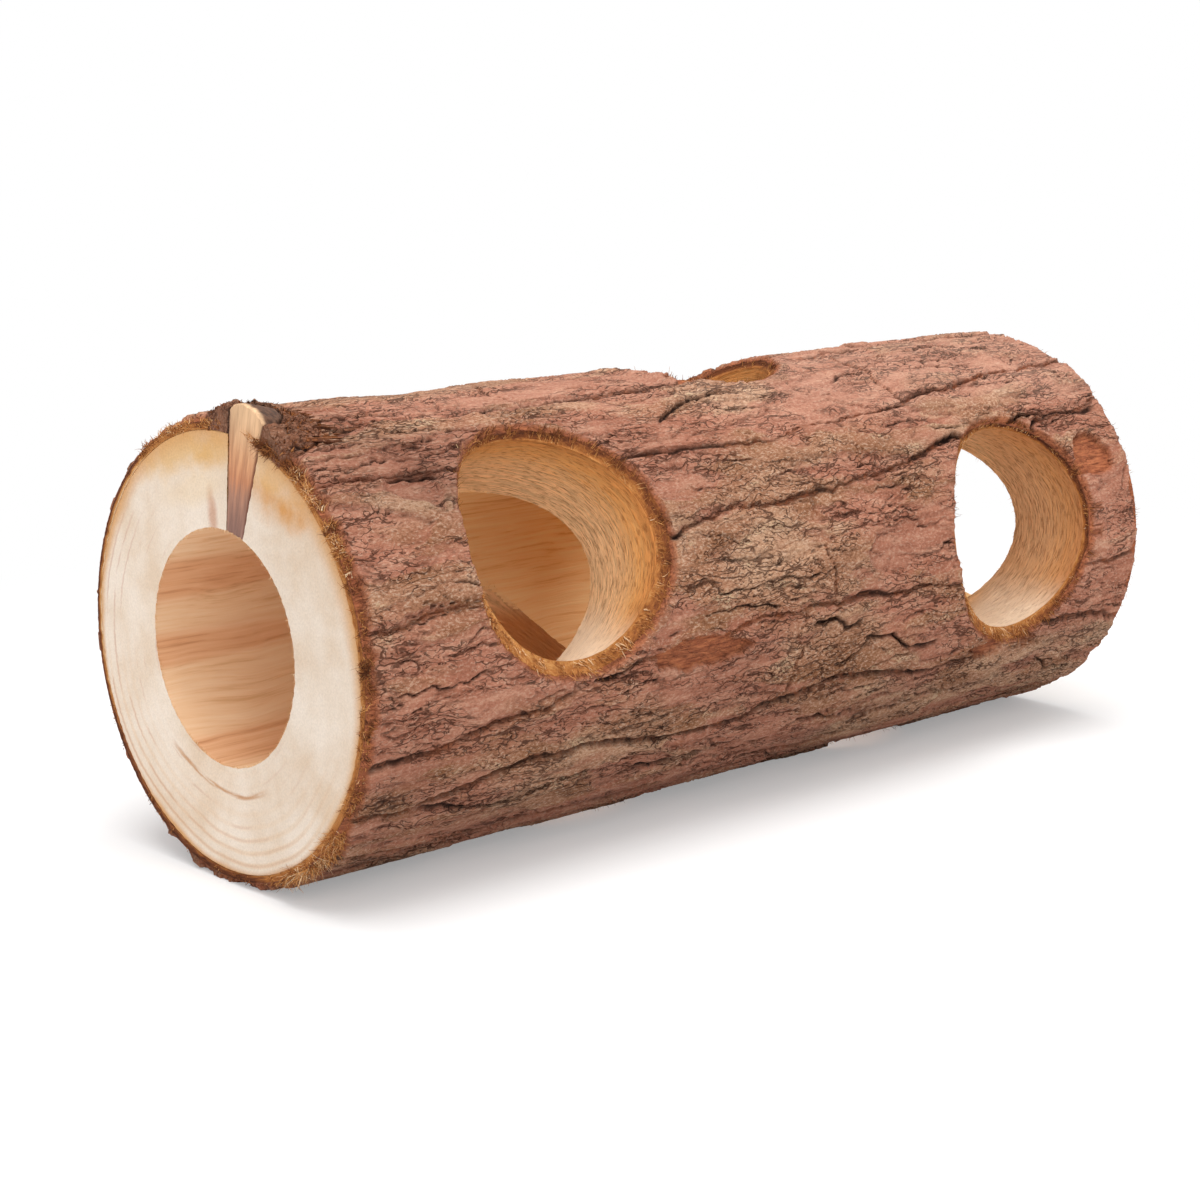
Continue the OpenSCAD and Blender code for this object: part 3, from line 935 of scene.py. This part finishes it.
        # The CAD's holes are wider than the torn rims, so a scar only counts away from them
        gap = self.gap - np.maximum(3.4 - self.rim, 0)
        scar = smooth(0.2, 0.8, gap)
        at_rim = 1 - smooth(0.05, 0.7 + 0.3 * wave(4, 3, 37), self.rim)
        from_near = self.x - near_tear(self.angle)
        from_far = LENGTH - self.x - far_tear(self.angle)
        from_end = np.minimum(from_near, from_far)
        at_end = 1 - smooth(-0.1, 0.7, from_end)
        self.bare = np.maximum(np.maximum(scar, at_rim), at_end)
        thin = np.maximum(np.maximum(scar, at_end), 0.8 * at_rim)
        behind = between(98, 120, 188, 205, np.degrees(self.angle))
        worn = 0.4 * behind * (1 - smooth(0, 7, self.x))
        self.height = np.maximum(self.height * (1 - thin) * (1 - worn) + fibre * thin, 0.05)
        radius = BASE_R + self.height
        below = np.maximum(-np.sin(self.angle), 1e-6)
        self.radius = np.minimum(radius, (AXIS_Z - FLOOR_GAP) / below)
        by_rim = 1 - smooth(0.1, 1.1, self.rim)
        by_end = 1 - smooth(0.0, 0.9, from_end)
        self.bare_reach = np.maximum(smooth(0, 0.9, gap), np.maximum(by_rim, by_end))

    def colour(self):
        """Marks for the shader: weathered, painted shade in crevices, bare, and shade, which holds
        painted shade low on the log and painted light on its top.
        """
        arc = self.angle * LOG_R
        wave = noise_at(self.x, arc)
        old = 0.85 - 0.3 * np.floor(self.lost) - 0.35 * self.in_pan
        old = old + 0.5 * wave(22, 9, 38) + 0.25 * wave(8, 3, 39)
        shade = 0.1 * smooth(-0.2, 0.8, wave(30, 12, 40))
        degrees = np.degrees(self.angle)
        # Painted shade darkens the lower side of the log, in patches as well; a band about 46 degrees up
        # is darker too
        shade = shade + 0.18 * (1 - smooth(-34, -6, degrees)) + 0.08 * hump(46, 14, degrees)
        shade = shade + 0.14 * self.lower * smooth(0.0, 0.7, wave(18, 6, 43))
        # Painted light: the top of the log is lighter, more so towards the far end, and the far end
        # lighter still
        lit_from = 56 - 20 * smooth(60, 100, self.x)
        lit = between(lit_from, lit_from + 18, 106, 124, degrees)
        shade = shade - (0.15 + 0.1 * smooth(100, 140, self.x)) * lit - 0.06 * smooth(150, 185, self.x)
        for at, angle, half_l, half_w, older, darker in PATCHES:
            off_arc = arc - math.radians(angle) * LOG_R
            near = np.exp(-((self.x - at) / half_l) ** 2 - (off_arc / half_w) ** 2)
            old = old + older * near
            shade = shade + darker * near
        # Painted shade in the hollows between flakes and in the deep cracks, stronger low on the log
        hollow = blur(self.height, 2, 3) - self.height
        edged = 0.5 + 0.5 * smooth(-0.3, 0.4, wave(12, 6, 41))
        sunk = smooth(0.1 - 0.03 * self.lower, 0.4 - 0.1 * self.lower, hollow)
        self.crevice_shade = np.clip(np.maximum(edged * sunk, 0.95 * self.deep), 0, 1)
        self.crevice_shade *= 1 - 0.75 * self.bare
        self.old = smooth(0.2, 0.9, old)
        self.shade = np.clip(shade, -0.25, 0.7)

    def build(self, material):
        rows, cols = self.shape
        quads = grid_quads(rows, cols, True)
        kept = ~self.inside.ravel()[quads].all(axis=-1)
        owner = self.plate[:-1]
        top = on_log(self.x, self.angle, self.radius)
        bottom = on_log(self.x, self.angle, BASE_R - 0.05)
        tones = np.stack([self.old, self.crevice_shade, self.bare_reach], axis=-1).reshape(-1, 3)
        shade = self.shade.ravel()
        for k, name in enumerate(PLATES):
            points, faces, used = closed_sheet(quads[kept & (owner == k)], top, bottom)
            mesh = new_mesh(name + "_flake", points, faces)
            # The bottom sheet carries painted shade, so the walls of flakes and cracks darken towards
            # their foot
            under = tones[used] * (1, 0, 0.4) + (0, 0.45, 0.2)
            set_tones(mesh, np.concatenate([tones[used], under]), np.tile(shade[used], 2))
            add_piece(name + "_flake", mesh, [material], [name])


# The inner bark

# How far from a window's edge its tube is cut and the torn lip ends, and the inset of its ends
TUBE_CUT = 4.0
LIP_END = 4.3
TUBE_INSET = 0.05


def inner_bark(material):
    """The bast tube under the plates, with a fine torn lip round each window."""
    step = 1.2
    rows, cols = round(LENGTH / step) + 1, round(GIRTH / step)
    x, angle = grid(TUBE_INSET, LENGTH - TUBE_INSET, rows, cols)
    inside = np.zeros(x.shape, bool)
    for hole in WINDOWS + [KNOT]:
        away, turn = hole.polar(x, angle, BASE_R)
        edge = hole.radius + (-0.3 if hole is KNOT else TUBE_CUT)
        within = away < edge
        on_x, on_angle = hole.place(edge, turn, BASE_R)
        x = np.where(within, np.clip(on_x, TUBE_INSET, LENGTH - TUBE_INSET), x)
        angle = np.where(within, on_angle, angle)
        inside |= within
    quads = grid_quads(rows, cols, True)
    quads = quads[~inside.ravel()[quads].all(axis=-1)]
    ragged_end = 0.35 * noise(x, angle * LOG_R, 5, 1.6, 80)
    x = np.clip(x + np.where((x < 1) | (x > LENGTH - 1), ragged_end, 0), 0.02, LENGTH - 0.02)
    outer = on_log(x, angle, BASE_R - 0.02)
    points, faces, used = closed_sheet(quads, outer, on_log(x, angle, WOOD_R + 0.02))
    degrees = np.degrees(angle.ravel()[used])
    # Behind, the saw left a clean edge: pale on the wood's side and dark on the bark's
    behind = between(118, 132, 278, 290, degrees)
    low = smooth(190, 215, degrees)
    shade_out = 0.4 - 0.4 * behind
    shade_in = 0.6 + (0.35 - 0.6 * low) * behind
    tube = points, faces.tolist(), np.concatenate([shade_out, shade_in])
    lips = [window_lip(k, hole) for k, hole in enumerate(WINDOWS)]
    mesh = merged("inner_bark_torn", [tube] + lips)
    add_piece("inner_bark_torn", mesh, [material], ["inner_bark"])


def window_lip(number, hole):
    """A ring of torn bast that slopes from the bark down to the edge of the wood."""
    rings, turns = 24, 360
    share, turn = grid(0, 1, rings, turns)
    start = hole.radius + window_flare(number, turn) + 0.02 + 0.1 * np.abs(ragged(turn, 90 + number, 50))
    edge = window_rim(number, turn)
    away = start + share * (np.maximum(edge + 1.0, hole.radius + LIP_END) - start)
    x, angle = hole.place(away, turn, BASE_R)
    rise = smooth(0, 1, (away - start) / (edge + 0.2 - start))
    fibre = 0.3 * noise(turn * hole.radius, away, 5, 0.6, 95)
    fibre = fibre + 0.15 * noise(x, angle * LOG_R, 0.9, 0.6, 96)
    top = WOOD_R + 0.15 + (BASE_R + 0.2 - WOOD_R) * rise + fibre * smooth(0, 0.5, away - start)
    hidden = smooth(0.1, 0.8, away - edge)
    top = top * (1 - hidden) + (BASE_R - 0.1) * hidden
    sheets = on_log(x, angle, top), on_log(x, angle, WOOD_R - 0.05)
    points, faces, used = closed_sheet(grid_quads(rings, turns, True), *sheets)
    to_bark = (away - start) / (edge - start) + 0.3 * ragged(turn, 97 + number, 40)
    shade = lip_tone(number, turn, to_bark).ravel()[used]
    return points, faces.tolist(), np.tile(shade, 2)


# The drilled wood

SAW_PITCH = 1.7


def tube_mesh(name, rings):
    """A closed mesh from rings of points, with a flat cap at each end."""
    count, sides = rings.shape[:2]
    faces = grid_quads(count, sides, True).reshape(-1, 4).tolist()
    faces.append(list(range(sides)))
    faces.append(list(range(count * sides - 1, (count - 1) * sides - 1, -1)))
    return new_mesh(name, rings.reshape(-1, 3), faces)


def wood_bar():
    """The debarked log, with saw marks across both ends."""
    sides = 288
    turn = full_turn(sides)
    near = np.concatenate([[1, 9, 15], np.arange(18, WOOD_R - 0.2, 0.55), [WOOD_R - 0.15]])
    rows = 22
    across = np.concatenate([near, np.full(rows, WOOD_R), near[::-1]])
    along = np.concatenate([0 * near, np.linspace(0.2, LENGTH - 0.2, rows), 0 * near + LENGTH])
    inward = np.concatenate([0 * near + 1, np.zeros(rows), 0 * near - 1])
    r, x, inward = (v[:, None] * np.ones(sides) for v in (across, along, inward))
    y, z = r * np.sin(turn), r * np.cos(turn)
    stroke = np.sin((z * 0.94 + y * 0.34) * 2 * math.pi / SAW_PITCH)
    saw = 0.05 + 0.05 * stroke + 0.05 * noise(y + 90, z, 3, 2, 100)
    return tube_mesh("wood_bar", np.stack([x + inward * np.maximum(saw, 0), y, z], axis=-1))


def bore_cutter():
    x, turn = grid(-3, LENGTH + 3, 150, 230)
    wave = noise_at(x, turn * LOG_R)
    r = BORE_R + 0.08 * wave(60, 3, 110) + 0.05 * wave(16, 1.6, 111)
    return tube_mesh("bore", np.stack([x, BORE_Y + r * np.sin(turn), BORE_Z + r * np.cos(turn)], axis=-1))


def window_cutter(number, hole):
    """The drill's path for one window, with the wood's layers standing out a little."""
    out, turn = grid(2, 1.3 * LOG_R, 74, 230)
    turn = -turn
    layer_r = np.hypot(out, hole.radius * np.sin(turn))
    grain = 0.22 * noise(layer_r * 5, turn * LOG_R, 4.5, 10, 120 + number)
    pits = 0.2 * noise(layer_r * 5, turn * LOG_R, 3, 3, 130 + number)
    broken_out = window_flare(number, turn) * smooth(WOOD_R - 5, WOOD_R, layer_r)
    r = hole.radius + broken_out - np.abs(grain + pits) * np.abs(np.cos(turn))
    return tube_mesh(f"window_{number}", hole.drilled(out, turn, r))


def knot_cutter():
    """The pocket of the branch knot, dried open a little towards the bark."""
    out, turn = grid(BORE_R - 4, WOOD_R + 4, 30, 72)
    turn = -turn
    r = KNOT_ROOT_R + (KNOT_R - KNOT_ROOT_R) * (out - BORE_R) / (KNOT_TOP - BORE_R)
    r = r + 0.12 + 0.3 * smooth(BORE_R + 4, WOOD_R, out) + 0.08 * noise(out, turn * LOG_R, 5, 20, 140)
    return tube_mesh("knot_pocket", KNOT.drilled(out, turn, r))


def log_wood(end_grain, bore_wall, window_wall):
    bar = placed("wood_bar", wood_bar())
    drilled = [window_cutter(k, hole) for k, hole in enumerate(WINDOWS)]
    tools = []
    for mesh in [bore_cutter()] + drilled + [knot_cutter()]:
        tool = placed(mesh.name, mesh)
        cut = bar.modifiers.new(mesh.name, "BOOLEAN")
        cut.operation = "DIFFERENCE"
        cut.solver = "MANIFOLD"
        cut.object = tool
        tools.append(tool)
    shaped = with_modifiers(bar)
    for used in [bar] + tools:
        bpy.data.objects.remove(used)
    shaped.name = "log_wood_drilled"
    materials = [end_grain, bore_wall, window_wall]
    add_piece("log_wood_drilled", shaped, materials, ["log_wood"], 35)
    for face in shaped.polygons:
        face.material_index = wood_face_kind(face)


def wood_face_kind(face):
    """0 for the sawn ends, 1 for the bore, 2 for the windows and the outside."""
    middle = np.array(face.center) / MM - ORIGIN
    if min(middle[0], LENGTH - middle[0]) < 0.5 and abs(face.normal.x) > 0.6:
        return 0
    off_bore = abs(math.hypot(middle[1] - BORE_Y, middle[2] - BORE_Z) - BORE_R)
    if off_bore < 0.45 and abs(face.normal.x) < 0.5:
        return 1
    return 2


# The branch knot and its collar

def branch_knot(material):
    """The stub, remeshed from its CAD solid and roughened along its grain."""
    rough = placed("stub_draft", nodes["branch_knot"].data.copy())
    remesh = rough.modifiers.new("remesh", "REMESH")
    remesh.mode = "VOXEL"
    remesh.voxel_size = 0.25 * MM
    mesh = with_modifiers(rough)
    bpy.data.objects.remove(rough)
    mesh.name = "branch_knot_stub"
    points = mesh_points(mesh)
    normals = np.array([v.normal for v in mesh.vertices])
    along, _ = from_knot_axis(points)
    across = points @ KNOT_ACROSS
    grain = 0.14 * noise(along, 8 * across + 5 * points[:, 0], 9, 5, 150)
    lumps = 0.3 * noise(along, 3 * across, 7, 8, 151) * smooth(WOOD_R, LOG_R, along)
    points = points + normals * (grain + lumps)[:, None]
    # The broken top slants down behind the sawn face
    limit = KNOT_TOP - 0.25 * np.maximum(points[:, 0] - 1.2, 0) - 0.07 * across ** 2
    over = np.maximum((points - KNOT_FOOT) @ KNOT_OUT - limit, 0)
    points -= over[:, None] * KNOT_OUT
    points[:, 0] = np.maximum(points[:, 0], 0.0)
    mesh.vertices.foreach_set("co", ((points + ORIGIN) * MM).ravel())
    add_piece("branch_knot_stub", mesh, [material], ["branch_knot"])


def collar_swell(share, turn):
    """How far the collar stands out, from the stub outwards."""
    return 1.9 * (1 - smooth(0.0, 0.9, share)) * (0.92 + 0.15 * np.sin(turn * 1.5))


def knot_collar(material):
    """The wrinkled bark that swells round the stub, cut off with the end of the log."""
    rings, turns = 90, 420
    share = np.linspace(0, 1, rings)[:, None] * np.ones(turns)
    inner = KNOT_R + 0.05
    away = inner + (COLLAR_R + 0.3 - inner) * share
    widest = np.arccos(np.clip(-(KNOT_X - 0.05) / away, -1, 1))
    turn = np.linspace(-1, 1, turns) * widest
    x, angle = KNOT.place(away, turn, LOG_R)
    wave = noise_at(x, angle * LOG_R)
    strips = 1 - 2.4 * np.abs(wave(9, 1.5, 160))
    wrinkle = 0.55 * strips + 0.5 * wave(2.6, 1.3, 161) + 0.3 * wave(1.0, 0.8, 162)
    top = LOG_R - 0.4 + collar_swell(share, turn) + wrinkle - 1.0 * smooth(0.85, 1, share)
    top = np.maximum(top, BASE_R + 0.1)
    sheets = on_log(x, angle, top), on_log(x, angle, WOOD_R + 0.05)
    points, faces, used = closed_sheet(grid_quads(rings, turns, False), *sheets)
    mesh = new_mesh("knot_collar_bark", points, faces)
    # Painted shade in the hollows of the wrinkles
    hollow = smooth(0.1, 0.6, 0.25 - wrinkle).ravel()[used]
    tones = np.stack([0.6 + 0 * hollow, 0.95 * hollow, 0.3 + 0 * hollow], axis=-1)
    set_tones(mesh, np.concatenate([tones, tones]), np.full(2 * len(used), 0.38))
    add_piece("knot_collar_bark", mesh, [material], ["knot_collar"])


# Torn fibres

STRAND_RINGS = 4
STRAND_SIDES = 3
STRAND_POINTS = STRAND_RINGS * STRAND_SIDES


def strands(roots, ways, lengths, thick, curls, rng):
    """Points and faces of many thin curved strands, each three-sided and tapered."""
    count = len(roots)
    ways = ways / np.linalg.norm(ways, axis=1)[:, None]
    side = np.cross(ways, rng.normal(size=(count, 3)))
    side /= np.linalg.norm(side, axis=1)[:, None]
    other = np.cross(ways, side)
    curl = side * rng.uniform(*curls, (count, 1))
    points = np.zeros((count, STRAND_RINGS, STRAND_SIDES, 3))
    for k in range(STRAND_RINGS):
        t = k / (STRAND_RINGS - 1)
        middle = roots + (ways * t + curl * t * t) * lengths[:, None]
        radius = (thick * (1 - 0.75 * t))[:, None]
        for j in range(STRAND_SIDES):
            a = 2 * math.pi * j / STRAND_SIDES
            points[:, k, j] = middle + radius * (math.cos(a) * side + math.sin(a) * other)
    first = np.arange(count)[:, None] * STRAND_POINTS
    one = grid_quads(STRAND_RINGS, STRAND_SIDES, True).reshape(-1, 4)[:, ::-1]
    quads = (first[:, :, None] + one[None]).reshape(-1, 4)
    last = first + STRAND_POINTS - STRAND_SIDES
    caps = np.concatenate([first + np.array([2, 1, 0]), last + np.array([0, 1, 2])])
    return points.reshape(-1, 3), quads.tolist() + caps.tolist()


class Fringe:
    """Gathers strands from several places into one piece."""

    def __init__(self, seed):
        self.rng = np.random.default_rng(seed)
        self.parts = []

    def add(self, roots, ways, short, long, tone, thick=0.055, curls=(0.1, 0.6)):
        n = len(roots)
        lengths = self.rng.uniform(short, long, n) * self.rng.uniform(0.5, 1, n)
        width = thick * self.rng.uniform(0.6, 1.4, n)
        points, faces = strands(roots, ways, lengths, width, curls, self.rng)
        shade = np.clip(tone + self.rng.normal(0, 0.14, n), 0, 1)
        self.parts.append((points, faces, np.repeat(shade, STRAND_POINTS)))

    def build(self, name, material):
        add_piece(name, merged(name, self.parts), [material])


def outward_at(angle):
    return on_log(0 * angle, angle, 1)


def tufts(rng, count, each, low, high, spread):
    """Places of strands gathered in tufts between two limits, and the tuft that each belongs to."""
    tuft = np.repeat(np.arange(count), each)
    middle = rng.uniform(low, high, count)
    return middle[tuft] + rng.normal(0, spread, count * each), tuft


# Tufts of torn bast round each window, most round the two in front
RIM_TUFTS = [180, 180, 55, 55, 55]


def window_fringe(material):
    """Torn bast round the windows, and fuzz where they break into the bore."""
    fringe = Fringe(200)
    rng = fringe.rng
    for k, (hole, count) in enumerate(zip(WINDOWS, RIM_TUFTS)):
        turn, tuft = tufts(rng, count, 16, -math.pi, math.pi, 0.03)
        n = len(turn)
        share = rng.random(n)
        rim = window_rim(k, turn)
        start = hole.radius + window_flare(k, turn)
        away = start + 0.1 + share * (rim + 0.2 - start)
        x, angle = hole.place(away, turn, BASE_R)
        r = WOOD_R + 0.1 + (BASE_R + 0.2 - WOOD_R) * smooth(0, 1, (away - start) / (rim + 0.2 - start))
        lean = rng.normal(0, 0.4, (count, 3))[tuft]
        ways = lean + outward_at(angle) * rng.uniform(0.3, 1.0, (n, 1)) + rng.normal(0, 0.25, (n, 3))
        ways[:, 0] += 0.9 * np.cos(turn)
        ways += 0.9 * np.sin(turn)[:, None] * hole.across
        tone = lip_tone(k, turn, share) + rng.normal(0, 0.14, count)[tuft]
        fringe.add(on_log(x, angle, r), ways, 0.5, 2.3, tone, 0.075)

        n = 220
        turn = rng.uniform(-math.pi, math.pi, n)
        deep = np.sqrt(np.maximum(BORE_R ** 2 - (hole.radius * np.sin(turn)) ** 2, 0))
        roots = hole.drilled(deep, turn, hole.radius)
        to_middle = -np.stack([np.cos(turn), 0 * turn, 0 * turn], axis=-1)
        ways = to_middle - 0.4 * hole.ahead + rng.normal(0, 0.5, (n, 3))
        fringe.add(roots, ways, 0.3, 1.0, np.full(n, 0.85), 0.04)
    fringe.build("window_fibres", material)


# Tufts along the near end: how many, strands in each, angles in degrees, longest strand, tone
NEAR_TUFTS = [
    (120, 20, -74, 76, 1.3, 0.46), (60, 28, -66, -40, 2.8, 0.58), (30, 36, 56, 72, 2.0, 0.2),
    (34, 26, 26, 60, 1.7, 0.66), (16, 44, -10, 40, 1.7, 0.12), (16, 44, -38, 10, 1.5, 0.16),
    (34, 14, 88, 128, 1.3, 0.55), (26, 8, 205, 285, 0.5, 0.2),
]


def knot_fringe(fringe):
    """Crumbled bark on the knot's collar, and flat dark strands that run back from it."""
    rng = fringe.rng
    n = 600
    share = rng.random(n)
    turn = rng.uniform(-1.9, 1.9, n)
    x, angle = KNOT.place(KNOT_R + 0.2 + share * (COLLAR_R - KNOT_R), turn, LOG_R)
    x = np.maximum(x, 0.15)
    ways = outward_at(angle) + rng.normal(0, 0.9, (n, 3))
    roots = on_log(x, angle, LOG_R - 0.3 + collar_swell(share, turn))
    fringe.add(roots, ways, 0.3, 0.9, rng.uniform(-0.1, 0.34, n), 0.12, (0.3, 1.1))
    n = 120
    angle = rng.uniform(math.radians(64), math.radians(84), n)
    x = KNOT_X + KNOT_R + rng.uniform(-1, 5, n)
    ways = rng.normal(0, 0.05, (n, 3)) + (1, 0, 0) - 0.12 * outward_at(angle)
    roots = on_log(x, angle, LOG_R + 0.5 - 0.08 * (x - KNOT_X))
    fringe.add(roots, ways, 3, 7, np.full(n, 0.02), 0.28, (0.0, 0.08))


def end_fringe(material):
    """Fibres that the saw tore up along the near end, a few at the far end, and fuzz round the bore."""
    fringe = Fringe(210)
    rng = fringe.rng
    for count, each, low, high, long, tone in NEAR_TUFTS:
        degrees, tuft = tufts(rng, count, each, low, high, 0.7)
        angle = np.radians(degrees)
        n = len(angle)
        x = rng.random(n) * np.maximum(near_tear(angle), 0.15)
        r = WOOD_R + 0.2 + rng.random(n) * (BASE_R - WOOD_R + 0.2)
        lean = rng.normal(0, 0.7, (count, 3))[tuft]
        ways = lean + outward_at(angle) * rng.uniform(0.2, 1, (n, 1)) + rng.normal(0, 0.25, (n, 3))
        ways[:, 0] -= rng.uniform(0.0, 0.6, n)
        tones = tone + rng.normal(0, 0.14, count)[tuft]
        fringe.add(on_log(x, angle, r), ways, 0.4, long, tones, 0.08, (0.3, 1.1))
    knot_fringe(fringe)
    n = 1200
    angle = rng.uniform(0, 2 * math.pi, n)
    x = LENGTH - rng.random(n) * np.maximum(far_tear(angle), 0.2)
    r = WOOD_R + 0.2 + rng.random(n) * (BASE_R - WOOD_R + 0.2)
    ways = outward_at(angle) * rng.uniform(0.1, 1, (n, 1)) + rng.normal(0, 0.5, (n, 3))
    fringe.add(on_log(x, angle, r), ways, 0.5, 1.4, np.full(n, 0.4))
    n = 700
    turn = rng.uniform(0, 2 * math.pi, n)
    to_middle = -np.stack([0 * turn, np.sin(turn), np.cos(turn)], axis=-1)
    roots = np.array([0.1, BORE_Y, BORE_Z]) - BORE_R * to_middle
    ways = to_middle + rng.normal(0, 0.5, (n, 3))
    fringe.add(roots, ways, 0.25, 0.8, np.full(n, 0.9), 0.04)
    fringe.build("end_fibres", material)


# Floor, light and camera

def floor():
    """A pale floor that fades to plain white away from the log."""
    size = 3.0
    mesh = bpy.data.meshes.new("floor")
    corners = [(-size, -size, 0), (size, -size, 0), (size, size, 0), (-size, size, 0)]
    mesh.from_pydata(corners, [], [(0, 1, 2, 3)])
    s = Shader("floor", roughness=1.0, specular=0.0)
    s.put((0.93, 0.92, 0.915, 1), s.surface.inputs["Base Color"])
    glow = s.node("Emission", {})[0]
    rays = s.node("LightPath", {})
    seen = s.larger(s.larger(rays["Is Camera Ray"], rays["Is Glossy Ray"]), rays["Is Transmission Ray"])
    away = s.vector("DISTANCE", s.vector("MULTIPLY", s.place(), (0.72, 1, 0)), (0.72 * HALF, 0, 0))
    share = s.times(seen, s.spread(away, 90, 260, 0.3, 1.0))
    shown = s.node("MixShader", {0: share, 1: s.surface.outputs[0], 2: glow})[0]
    s.put(shown, s.tree.nodes["Material Output"].inputs["Surface"])
    mesh.materials.append(s.material)
    placed("floor", mesh)


def soft_light(name, place, size, power, target=(0, 0, 0.04)):
    data = bpy.data.lights.new(name, "AREA")
    data.size = size
    data.energy = power
    lamp = placed(name, data)
    lamp.location = place
    lamp.rotation_euler = (Vector(target) - Vector(place)).to_track_quat("-Z", "Y").to_euler()


def light():
    world = bpy.data.worlds.new("studio")
    bpy.context.scene.world = world
    world.use_nodes = True
    s = Nodes(world.node_tree)
    rays = s.node("LightPath", {})
    seen = s.larger(rays["Is Camera Ray"], rays["Is Transmission Ray"])
    background = s.tree.nodes["Background"].inputs
    s.put((1, 1, 1, 1), background["Color"])
    s.put(s.node("Mix", {0: seen, 2: 0.6, 3: 1.0})[0], background["Strength"])
    soft_light("overhead", (-0.1, -0.15, 1.1), 0.9, 11.5)
    soft_light("front", (-0.7, -0.9, 0.75), 0.6, 4.0)


# Camera fitted to the photograph, with the eye in mm from the middle of the log's axis
EYE = (-325.9, -334.7, 92.1)
LOOK = (0.6658, 0.7179, -0.2036)
LENS = 74.8
SENSOR = 36.0


def camera():
    data = bpy.data.cameras.new("camera")
    data.lens = LENS
    data.sensor_width = SENSOR
    data.clip_start = 0.01
    eye = placed("camera", data)
    eye.location = Vector(EYE) * MM + Vector((0, 0, AXIS_Z * MM))
    eye.rotation_euler = Vector(LOOK).to_track_quat("-Z", "Y").to_euler()
    bpy.context.scene.camera = eye


bpy.context.scene.view_settings.view_transform = "Standard"
camera()
light()
floor()
bark = bark_material()
bast = bast_material()
fibre = fibre_material()
Bark().build(bark)
inner_bark(bast)
log_wood(end_grain_material(), bore_material(), window_material())
branch_knot(knot_material())
knot_collar(bark)
window_fringe(fibre)
end_fringe(fibre)
